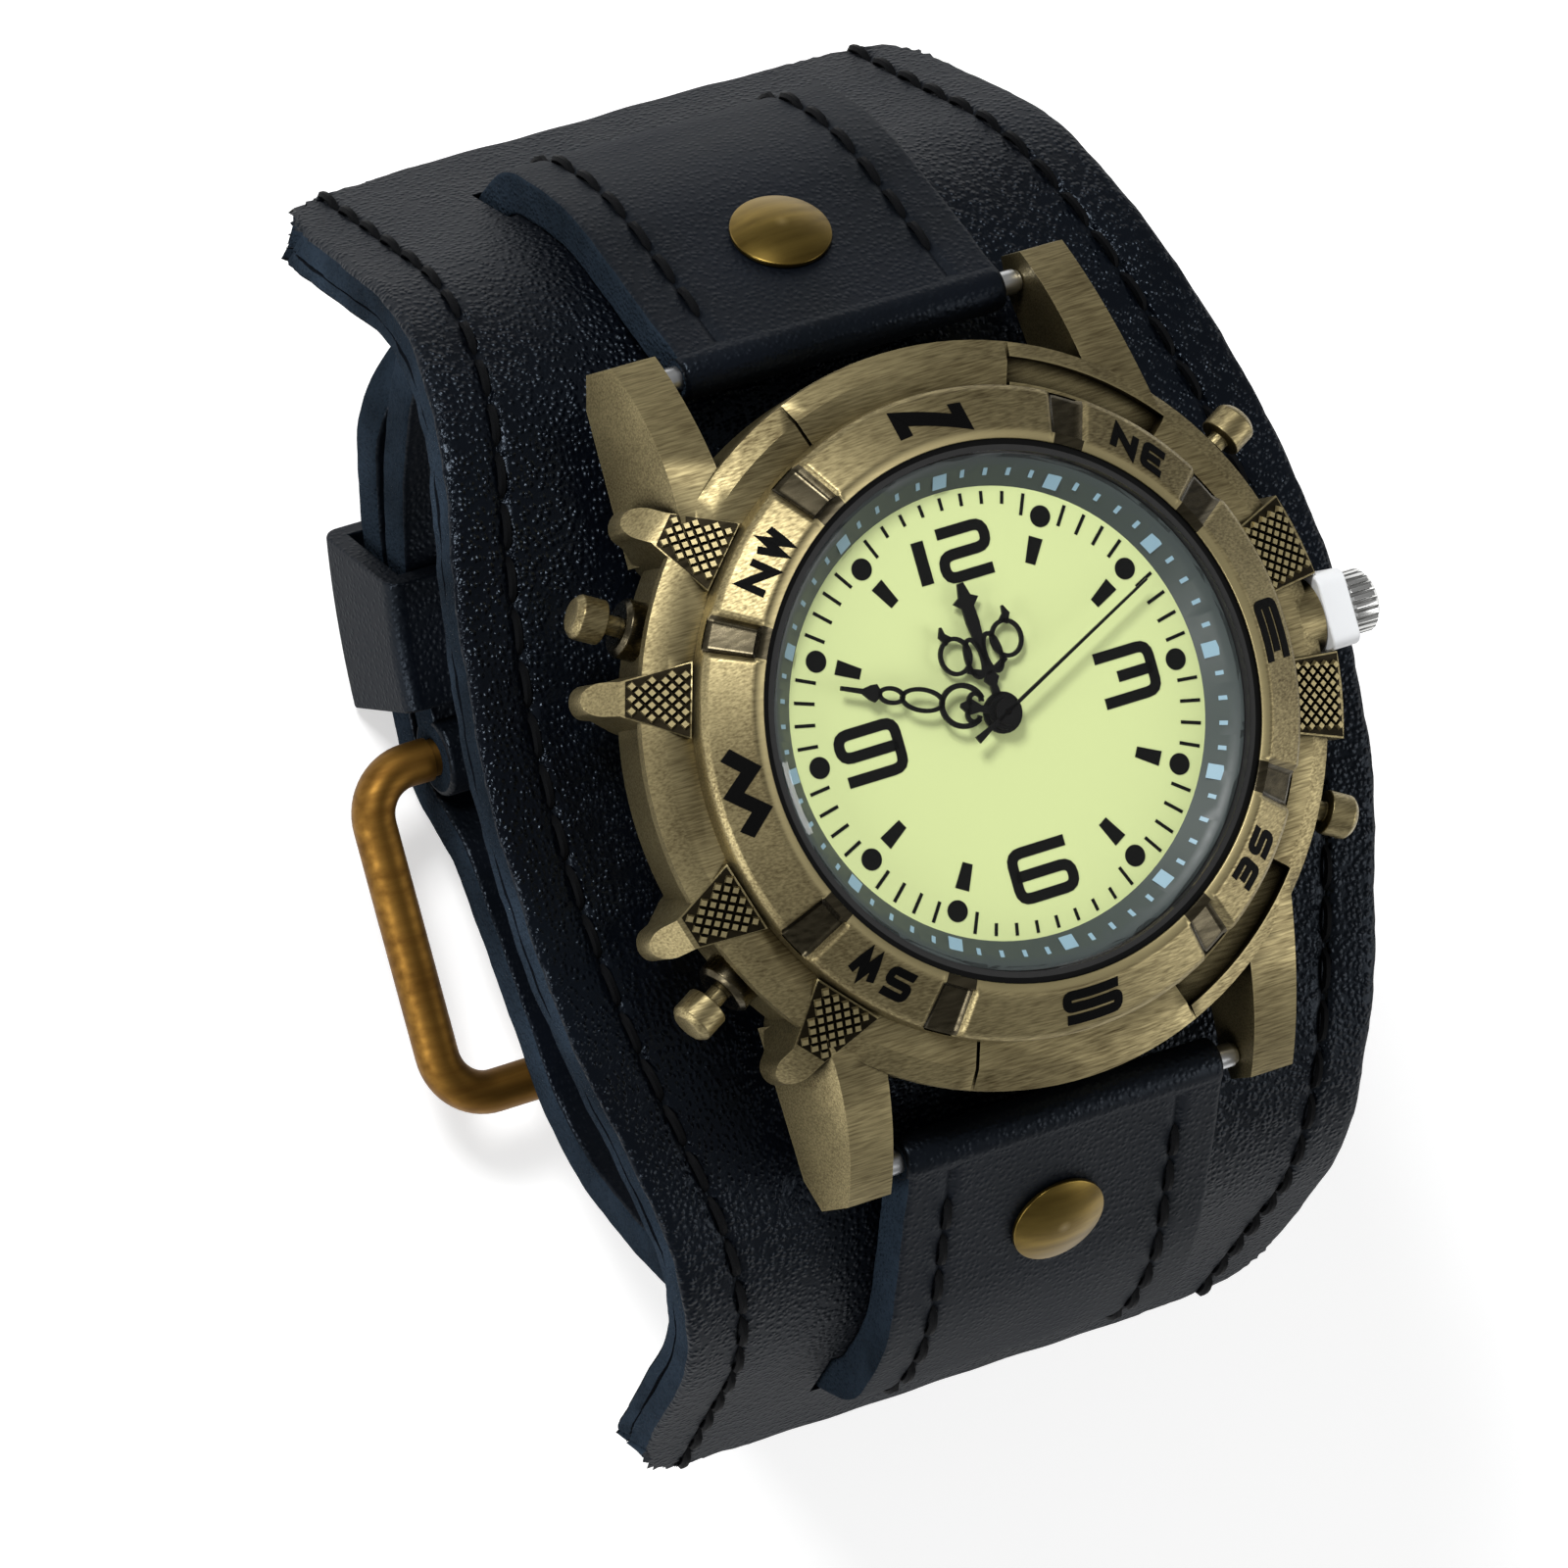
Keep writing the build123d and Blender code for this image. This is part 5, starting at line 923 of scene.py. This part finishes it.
FIGURES = {
    "1": [[(0.5, 0), (0.5, 1)]],
    "2": [[(0, 1), (1, 1), (1, 0.5), (0, 0.5), (0, 0), (1, 0)]],
    "3": [[(0, 1), (1, 1), (1, 0), (0, 0)], [(0.35, 0.5), (1, 0.5)]],
    "6": [[(1, 1), (0, 1), (0, 0), (1, 0), (1, 0.5), (0, 0.5)]],
    "9": [[(0, 0), (1, 0), (1, 1), (0, 1), (0, 0.5), (1, 0.5)]],
    "N": [[(0, 0), (0, 1), (1, 0), (1, 1)]],
    "E": [[(1, 1), (0, 1), (0, 0), (1, 0)], [(0, 0.5), (0.85, 0.5)]],
    "S": [[(1, 1), (0, 1), (0, 0.5), (1, 0.5), (1, 0), (0, 0)]],
    "W": [[(0, 1), (0.25, 0), (0.5, 1), (0.75, 0), (1, 1)]],
}


def figure(sign, left, low, width, height, half, place, soft):
    """Strokes of a figure in a box; soft is the share of the height that its corners are rounded by."""
    pieces = []
    for line in FIGURES[sign]:
        size = np.array([width, height]) - 2 * half
        points = np.array(line, dtype=float) * size + (left + half, low + half)
        if sign not in "NW":
            points = round_corners(points, soft * height)
        pieces.append(stroke(finer(points, 0.5), half, place))
    return pieces


print("figures drawn as lines:", " ".join(FIGURES))


# %% [markdown]
# The dial is printed with black ink: four numerals, a dot at each hour but 12 and 6, a bar
# where there is no numeral, and lines at the other minutes, short beside the 12 and the 6.
# A font would give other figures than the squarish ones of this dial.

# %% Dial prints
def on_dial(turn=0.0, height=0.0):
    """Place on the dial or at a height above it, turned clockwise by an angle in degrees."""
    c, s = math.cos(math.radians(turn)), math.sin(math.radians(turn))
    return lambda x, y, h: np.stack([x * c + y * s, y * c - x * s, h + height], axis=-1)


NUMERAL_HIGH, NUMERAL_SOFT = 3.4, 0.2
NUMERALS = (
    ("1", -2.95, 8.0, 1.6, 0.4), ("2", -1.15, 8.0, 3.7, 0.33), ("3", 6.5, -1.7, 4.2, 0.33),
    ("9", -10.8, -1.7, 4.4, 0.33), ("6", -2.15, -11.3, 4.3, 0.33),
)
DOT_AT, DOT_R, BAR_ENDS, BAR_HALVES = 12.0, 0.65, [(0, 9.1), (0, 10.7)], [0.32, 0.45]
LINE_FROM, SHORT_FROM, LINE_TO, LINE_HALF = 11.8, 12.35, 13.1, 0.1
prints = []
for sign, left, low, width, half in NUMERALS:
    prints += figure(sign, left, low, width, NUMERAL_HIGH, half, on_dial(), NUMERAL_SOFT)
for minute in range(60):
    hour, exact = divmod(minute, 5)
    here = on_dial(6.0 * minute)
    if exact == 0 and hour not in (0, 6):
        prints.append(dot(0.0, DOT_AT, DOT_R, here))
        if hour not in (3, 9):
            prints.append(stroke(BAR_ENDS, BAR_HALVES, here))
    else:
        near_numeral = min(minute % 30, 30 - minute % 30) <= 3
        start = SHORT_FROM if near_numeral else LINE_FROM
        prints.append(stroke([(0, start), (0, LINE_TO)], LINE_HALF, here))
built("dial_print", prints, print_black)
print("dial prints:", len(prints))


# %% [markdown]
# The bezel is a cast ring with eight raised blocks. A Boolean would leave hard notches,
# but the casting's are soft hollows, so the ring is one grid: an outline turned round the
# axis, whose top sinks where a notch is. A thin rim that covers the neck stays whole.

# %% Bezel
BORE, RIM_R, RIM_Z, LIP, PEAK, BASE = 16.55, 19.3, 0.8, 0.35, 2.4, -0.75
BLOCK, NOTCH, NOTCH_EASE, NOTCH_DEEP, THIN_RIM, THIN_T = 50.0, 8.5, 2.2, 0.72, 16.0, 0.13
TOP_IN = BORE + 0.12


def bezel_surface():
    """An outline turned in 1080 steps; its top sinks by depth times a smooth step of the angle to a notch."""
    turn = np.linspace(0, 360, 1081)[:-1]
    notch_at = (np.arange(0, 360, 90)[:, None] + np.array([-1, 1]) * (BLOCK + NOTCH) / 2).ravel()
    off = np.abs((turn[:, None] - notch_at + 180) % 360 - 180).min(axis=1)
    t = np.clip((NOTCH / 2 + 0.2 - off) / NOTCH_EASE, 0, 1)
    sunk = NOTCH_DEEP * t * t * (3 - 2 * t)
    outline = [(BORE, BASE, 0), (RIM_R - 0.1, BASE, 0), (RIM_R, BASE + 0.1, 0)]
    outline += [(RIM_R, RIM_Z - 0.5, 0.2), (RIM_R, RIM_Z - 0.08, 0.95)]
    outline += [(RIM_R - 0.06, RIM_Z + 0.04, 1), (RIM_R - LIP + 0.05, RIM_Z + LIP - 0.03, 1)]
    for s in np.linspace(0, 1, 14):
        outline.append((RIM_R - LIP + (TOP_IN - RIM_R + LIP) * s, RIM_Z + LIP + (PEAK - RIM_Z - LIP) * s, 1))
    outline += [(BORE + 0.06, PEAK, 0), (THIN_RIM + 0.05, PEAK, 0)]
    outline += [(THIN_RIM, PEAK - 0.05, 0), (THIN_RIM, PEAK - THIN_T, 0), (BORE, PEAK - THIN_T, 0)]
    outline = np.array(outline)
    radius = np.broadcast_to(outline[:, 0], (len(turn), len(outline)))
    z = outline[None, :, 1] - sunk[:, None] * outline[None, :, 2]
    angle = np.radians(turn)[:, None]
    points = np.stack([radius * np.sin(angle), radius * np.cos(angle), z], axis=-1)
    faces = grid_faces(len(turn), len(outline), close_rows=True, close_columns=True)
    in_notch = (sunk > 0.5 * NOTCH_DEEP)[faces[:, 0] // len(outline)] & (faces[:, 0] % len(outline) > 4)
    return points.reshape(-1, 3), faces, in_notch


points, faces, in_notch = bezel_surface()
# The floors of the notches take the darker brass: painted shade in the hollows.
make_object(
    "cast_bezel", points, faces, antique_brass, "bezel", "bezel",
    edge=dark_brass, on_edge=in_notch,
)
print("bezel faces:", len(faces))


# %% [markdown]
# The chapter ring is a sloping lacquered ring with pale marks, and the letters of the
# bezel are filled with enamel. Both lie on cones, so the strokes are bent round the axis.
# The knurled panels further out are flat slopes, and the same function places them.

# %% Chapter marks and bezel letters
def on_slope(clock_angle, inner, inner_z, outer, outer_z, bent=False):
    """Place on a slope: y is the radius, x runs to the right, straight or bent round the axis as an arc."""
    slope = (outer_z - inner_z) / (outer - inner)
    tilt = math.atan(slope)

    def place(x, y, h):
        r = y - h * math.sin(tilt)
        z = inner_z + slope * (y - inner) + h * math.cos(tilt)
        angle = math.radians(clock_angle) + (x / y if bent else 0 * x)
        aside = 0 * x if bent else x
        return np.stack(
            [r * np.sin(angle) + aside * np.cos(angle), r * np.cos(angle) - aside * np.sin(angle), z], axis=-1
        )
    return place


CHAPTER_CONE, MARK_THICK = (13.4, 0.25, 15.2, 1.6), 0.03
HOUR_MARK, MINUTE_MARK = (13.65, 14.95, 0.45), (14.0, 14.85, 0.13)
marks = []
for minute in range(60):
    low, high, half = MINUTE_MARK if minute % 5 else HOUR_MARK
    here = on_slope(6.0 * minute, *CHAPTER_CONE, bent=True)
    marks.append(stroke([(0, low), (0, high)], half, here, MARK_THICK))
built("chapter_marks", marks, mark_blue)

BEZEL_CONE = (TOP_IN, PEAK, RIM_R - LIP, RIM_Z + LIP)
LETTER_GAP, LETTER_SOFT, ONE_LETTER, TWO_LETTERS = 0.35, 0.16, (16.75, 2.0), (16.85, 1.75)
LETTERS = (
    (0, "N", 4.6, 0.42), (90, "E", 4.0, 0.28), (180, "S", 4.0, 0.28), (270, "W", 5.6, 0.4),
    (45, "NE", 1.8, 0.23), (135, "SE", 1.8, 0.23), (225, "SW", 1.9, 0.23), (315, "NW", 1.9, 0.23),
)
inlays = []
for clock_angle, signs, width, half in LETTERS:
    here = on_slope(clock_angle, *BEZEL_CONE, bent=True)
    base, height = ONE_LETTER if len(signs) == 1 else TWO_LETTERS
    line_width = len(signs) * width + (len(signs) - 1) * LETTER_GAP
    for number, sign in enumerate(signs):
        left = number * (width + LETTER_GAP) - line_width / 2
        inlays += figure(sign, left, base, width, height, half, here, LETTER_SOFT)
built("bezel_letters", inlays, inlay_black, "bezel")
print("chapter marks:", len(marks), "letter strokes:", len(inlays))


# %% [markdown]
# The claws and crown guards are knurled: a lattice of little blunt pyramids that a cutter
# leaves between two sets of grooves. A bump pattern would not change the outline, so each
# pyramid is six faces, set on a diamond lattice and kept where it fits the face, over a
# thin panel of near-black metal in the grooves: their blackened patina, and painted shade.

# %% Knurled pyramids
def pyramids(centres, spacing, height, place):
    """Blunt pyramids: base half-diagonals of 0.47 spacing, tops of 0.3 spacing, set by place(x, y, h)."""
    diamond = np.array([(1, 0), (0, 1), (-1, 0), (0, -1)]) * spacing
    corners = centres[:, None, :] + np.concatenate([diamond * 0.47, diamond * 0.3])
    heights = np.broadcast_to([-0.03] * 4 + [height] * 4, corners.shape[:2])
    points = place(corners[..., 0], corners[..., 1], heights).reshape(-1, 3)
    shape = [[k, (k + 1) % 4, (k + 1) % 4 + 4, k + 4] for k in range(4)] + [[4, 5, 6, 7], [3, 2, 1, 0]]
    faces = [[corner + 8 * number for corner in face] for number in range(len(centres)) for face in shape]
    return points, faces, np.zeros(len(faces))


def diamond_lattice(spacing, half_width, y_low, y_high, keep):
    """Centres of a lattice whose rows are half a step apart, where keep(x, y) is true."""
    step = spacing / 2
    i, j = np.meshgrid(np.arange(int(2 * half_width / step) + 1), np.arange(int((y_high - y_low) / step) + 1))
    even = (i + j) % 2 == 0
    x, y = i[even] * step - half_width, y_low + j[even] * step
    inside = keep(x, y)
    return np.stack([x[inside], y[inside]], axis=1)


KNURL, PYRAMID, PANEL, SUNK = 0.72, 0.28, 0.14, 0.02
CLAW_IN, CLAW_OUT, CLAW_HALF_IN, CLAW_HALF_OUT, GUARD_OUT = 19.4, 23.3, 2.25, 1.0, 23.1
CLAW_SLOPE, GUARD_SLOPE = (CLAW_IN, -0.3, CLAW_OUT, -1.9), (CLAW_IN, -0.3, GUARD_OUT, -1.2)
CLAWS_AT, GUARDS_AT = (46.5, 72.2, 107.8, 133.5), (77.5, 102.5)


def on_claw(x, y):
    """True where a pyramid fits between the sides of a claw, which taper outwards."""
    taper = (CLAW_HALF_IN - CLAW_HALF_OUT) / (CLAW_OUT - CLAW_IN)
    return np.abs(x) + KNURL * 0.4 < CLAW_HALF_IN - (y - CLAW_IN) * taper


def on_guard(x, y):
    """True where a pyramid fits within the angle of a crown guard."""
    return np.abs(np.degrees(np.arctan2(x, y))) + 1.0 < 6.5


claw_lattice = diamond_lattice(KNURL, 3 * KNURL, CLAW_IN + 0.4, CLAW_OUT - 0.6, on_claw)
guard_lattice = diamond_lattice(KNURL, 3.5 * KNURL, CLAW_IN + 0.3, GUARD_OUT - 0.3, on_guard)
raised_claw = (CLAW_IN, CLAW_SLOPE[1] + PANEL, CLAW_OUT, CLAW_SLOPE[3] + PANEL)
claw_middle, guard_middle = ([(0, CLAW_IN + 0.1), (0, end)] for end in (CLAW_OUT - 0.3, GUARD_OUT - 0.2))
knurls, panels = [], []
for angle in CLAWS_AT:
    knurls.append(pyramids(claw_lattice, KNURL, PYRAMID, on_slope(-angle, *raised_claw)))
    widths = [CLAW_HALF_IN - 0.1, CLAW_HALF_OUT]
    panels.append(stroke(claw_middle, widths, on_slope(-angle, *CLAW_SLOPE), PANEL + SUNK))
for angle in GUARDS_AT:
    here = on_slope(angle, *GUARD_SLOPE)
    knurls.append(pyramids(guard_lattice, KNURL, PYRAMID, here))
    panels.append(stroke(guard_middle, [2.1, 2.5], here, SUNK))
built("case_knurling", knurls, antique_brass)
built("knurling_ground", panels, groove_patina_and_shade_brass)
print("pyramids:", 4 * len(claw_lattice) + 2 * len(guard_lattice))


# %% [markdown]
# The hands are stamped openwork, lacquered black: rings, scrolls and a spade. Each is
# drawn upright as strokes, as one would file it from sheet, and then turned to the time
# it shows.

# %% Hands
HAND_THICK = 0.18


def ring_line(x, y, half_width, half_length, start=0.0, end=360.0, count=28):
    """Points of an ellipse from one angle to another, counted from the right."""
    turn = np.radians(np.linspace(start, end, count + 1))
    return np.stack([x + half_width * np.cos(turn), y + half_length * np.sin(turn)], axis=1)


def hand(name, body, turn, height, strokes, solids, hub, node):
    """A hand from open or closed strokes, tapering solids and a round hub, at a height above the dial."""
    here = on_dial(turn, height)
    pieces = []
    for points, half in strokes:
        closed = np.allclose(points[0], points[-1])
        pieces.append(stroke(points[:-1] if closed else points, half, here, HAND_THICK, closed=closed))
    for points, halves in solids:
        pieces.append(stroke(points, halves, here, HAND_THICK))
    pieces.append(dot(0, 0, hub, here, HAND_THICK))
    built(name, pieces, hand_black, body, node)
    print(name, "has", len(pieces), "parts")


WIRE = 0.13
hour_solids = [
    ([(0, 1.0), (0, 1.7), (0, 2.1), (0, 2.6)], [0.28, 0.22, 0.5, 0.2]),
    ([(0, 2.4), (0, 3.2), (0, 4.6), (0, 5.6)], [0.2, 0.1, 0.32, 0.42]),
    ([(0, 5.6), (0, 6.5), (0, 6.95), (0, 7.2), (0, 8.0)], [0.42, 0.4, 0.85, 0.4, 0.2]),
]
hour_strokes = []
for side in (-1, 1):
    hour_strokes.append((ring_line(side * 0.62, 3.55, 0.5, 1.15), WIRE))
    hour_strokes.append((ring_line(side * 1.75, 4.05, 0.95, 1.05), WIRE))
    hour_solids.append(([(side * 1.85, 5.0), (side * 2.2, 5.45), (side * 2.1, 5.95)], [0.3, 0.22, 0.06]))
    hour_solids.append(([(side * 0.5, 2.6), (side * 1.3, 3.0)], [0.2, 0.16]))
minute_strokes = [
    (ring_line(0, 2.75, 1.2, 1.35, -60, 240), 0.16),
    (ring_line(0.42, 2.0, 0.42, 0.4, -90, 140, 14), 0.14),
    (ring_line(-0.42, 2.0, 0.42, 0.4, 40, 270, 14), 0.14),
    (ring_line(0, 5.35, 0.62, 1.3), WIRE),
    (ring_line(0, 7.35, 0.42, 0.75), WIRE),
]
minute_solids = [
    ([(0, 1.0), (0, 1.6), (0, 2.3), (0, 2.9)], [0.25, 0.2, 0.5, 0.12]),
    ([(0, 4.0), (0, 4.2)], [0.3, 0.3]),
    ([(0, 6.5), (0, 6.75)], [0.28, 0.28]),
    ([(0, 8.0), (0, 8.35), (0, 8.7), (0, 9.2), (0, 10.6)], [0.15, 0.55, 0.45, 0.16, 0.13]),
]
second_solids = [([(0, -2.6), (0, -1.4), (0, 0), (0, 12.1)], [0.24, 0.13, 0.11, 0.07])]
hand("hour_hand_openwork", "hours", -3.0, 0.45, hour_strokes, hour_solids, 1.25, "hour_hand")
hand("minute_hand_openwork", "minutes", 293.0, 0.85, minute_strokes, minute_solids, 1.05, "minute_hand")
hand("second_hand_needle", "seconds", 65.0, 1.22, [], second_solids, 0.8, "second_hand")


# %% [markdown]
# The hard pieces keep their CAD shape. Those that show get a softened copy with small
# bevels in millimetres, and the works and seals inside only get their materials.

# %% Hard pieces
for node, material, body, bevel in (
    ("case_body", antique_brass, "watch", 0.12),
    ("case_back", watch_steel, "watch", 0.1),
    ("crystal", mineral_glass, "watch", 0.0),
    ("chapter_ring", slate_paint, "watch", 0.0),
    ("dial", dial_paint, "watch", 0.0),
    ("crown", silver_steel, "crown", 0.04),
    ("winding_stem", silver_steel, "crown", 0.0),
    ("crown_stopper", stopper_white, "stopper", 0.15),
    *((f"pusher_{hour}", antique_brass, f"pusher_{hour}", 0.1) for hour in (2, 4, 8, 10)),
    ("pusher_sleeves", dark_brass, "watch", 0.08),
    ("rivet_caps", rivet_brass, "watch", 0.08),
    ("rivet_feet", rivet_brass, "watch", 0.08),
    ("buckle_frame", buckle_brass, "buckle", 0.0),
    ("buckle_tongue", buckle_brass, "tongue", 0.0),
    ("spring_bars", watch_steel, "watch", 0.05),
    ("strap_keeper", strap_leather, "keeper", 0.2),
):
    dressed(node, material, body, bevel)

# Painted shade: the case's neck inside the bezel takes the black lacquer, so the recess between the bezel and
# the chapter ring reads as a band of shade.
case = bpy.data.objects["case_body_finished"].data  # its neck, inside the bezel, is left dark
case.materials.append(hand_black)
for face in case.polygons:
    x, y, z = face.center / MM
    if math.hypot(x, y) < BORE and z - DIAL_Z > BASE:
        face.material_index = 1

inner_pieces = 0
for material, nodes in (
    (watch_steel, "bezel_spring crown_tube sliding_pinion bridge_screws stator coil_core"),
    (watch_steel, "battery_clamp setting_lever yoke"),
    (works_brass, "main_plate train_bridge fifth_wheel seconds_wheel third_wheel centre_wheel"),
    (works_brass, "cannon_pinion minute_wheel hour_wheel setting_wheel"),
    (black_rubber, "crystal_gasket back_gasket"),
    (silver_steel, "quartz_can battery"),
    (stopper_white, "movement_holder"),
    (copper_wire, "coil"),
    (board_green, "circuit_board"),
    (magnet_grey, "rotor"),
):
    for node in nodes.split():
        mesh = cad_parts[node].data
        mesh.materials.clear()
        mesh.materials.append(material)
        inner_pieces += 1
print("pieces of the works and seals:", inner_pieces)


# %% [markdown]
# The stage is a photographer's: a pale sweep of floor, a soft sky and three soft lamps.
# The floor glows a little where it is seen, so that it comes out white as on the
# photograph, while it still takes the shadow. A wall of card would do the same.

# %% Floor and sky
WHITE = (1.0, 1.0, 1.0, 1.0)
floor_mesh = bpy.data.meshes.new("floor")
floor_mesh.from_pydata([(-3, -3, 0), (3, -3, 0), (3, 3, 0), (-3, 3, 0)], [], [(0, 1, 2, 3)])
floor = put_in_scene("floor", floor_mesh)
floor_material, add = new_material("pale_floor")
rays = add("LightPath").outputs
seen = rays["Is Camera Ray"]
for ray in ("Is Transmission Ray", "Is Glossy Ray"):
    seen = add("Math", {"operation": "MAXIMUM"}, {0: seen, 1: rays[ray]})
matt = add("BsdfDiffuse", {"Color": (0.8, 0.8, 0.8, 1.0)})
glow = add("Emission", {"Color": WHITE, "Strength": 0.45})
glowing = add("AddShader", links={0: matt, 1: glow})
choice = add("MixShader", links={0: seen, 1: matt, 2: glowing})
add("OutputMaterial", links={"Surface": choice})
floor_mesh.materials.append(floor_material)
floor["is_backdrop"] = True

world = bpy.data.worlds.new("soft_sky")
bpy.context.scene.world = world
world.use_nodes = True
sky = world.node_tree
sky.nodes.clear()
sky_light = add_node(sky, "Background", {"Color": WHITE, "Strength": 0.3})
add_node(sky, "OutputWorld", links={"Surface": sky_light})
print("sky strength:", sky_light.inputs["Strength"].default_value)


# %% [markdown]
# The camera looks down on the dial from the left. Its axes were fitted to the lugs, the
# crown and the rivets, so its position isn't a guess. The lamps are soft boxes: a small
# key gives the leather its sparks, and two larger ones fill in.

# %% Camera and lamps
def stand(obj, right, up, back, place):
    """Sets a camera or a lamp at a place in metres; both look along minus their third axis."""
    matrix = np.eye(4)
    matrix[:3] = np.stack([right, up, back, place], axis=1)
    obj.matrix_world = Matrix(matrix.tolist())


RIGHT = np.array([0.878, -0.2709, 0.394])
UP = np.array([0.2687, 0.9612, 0.0618])
TOWARD = np.array([-0.3955, 0.0516, 0.9167])
AIM = -12.6 * RIGHT - 4.14 * UP
DISTANCE, PIXELS_PER_MM, PHOTO_PIXELS, SENSOR = 650.0, 17.38, 1600, 36
camera_data = bpy.data.cameras.new("photo_camera")
camera_data.sensor_width = SENSOR
camera_data.lens = SENSOR * PIXELS_PER_MM * DISTANCE / PHOTO_PIXELS
camera_data.clip_end = 10
camera = put_in_scene("photo_camera", camera_data)
stand(camera, RIGHT, UP, TOWARD, to_metres(AIM + DISTANCE * TOWARD))
bpy.context.scene.camera = camera


def lamp(name, place, size, power):
    """Soft rectangular lamp that faces the watch."""
    data = bpy.data.lights.new(name, "AREA")
    data.shape = "RECTANGLE"
    data.size, data.size_y = size
    data.energy = power
    back = np.array(place) - [0.0, 0.0, 0.05]
    back /= np.linalg.norm(back)
    side = np.cross([0.0, 0.0, 1.0], back)
    side /= np.linalg.norm(side)
    stand(put_in_scene(name, data), side, np.cross(back, side), back, place)


lamp("key", (-0.25, 0.45, 0.55), (0.22, 0.16), 4.0)
lamp("fill", (0.5, -0.3, 0.4), (0.4, 0.4), 1.6)
lamp("left", (-0.6, -0.1, 0.25), (0.25, 0.25), 1.8)
bpy.context.scene.view_settings.view_transform = "Standard"
print("lens in mm:", round(camera_data.lens, 1))


# %% [markdown]
# The last step measures the finished watch and sets its box beside the CAD model's.

# %% Finish
low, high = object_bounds()
({
    "cad": [[float(v) for v in corner] for corner in cad_box],
    "visual": [[float(v) for v in corner] for corner in (low, high)],
})
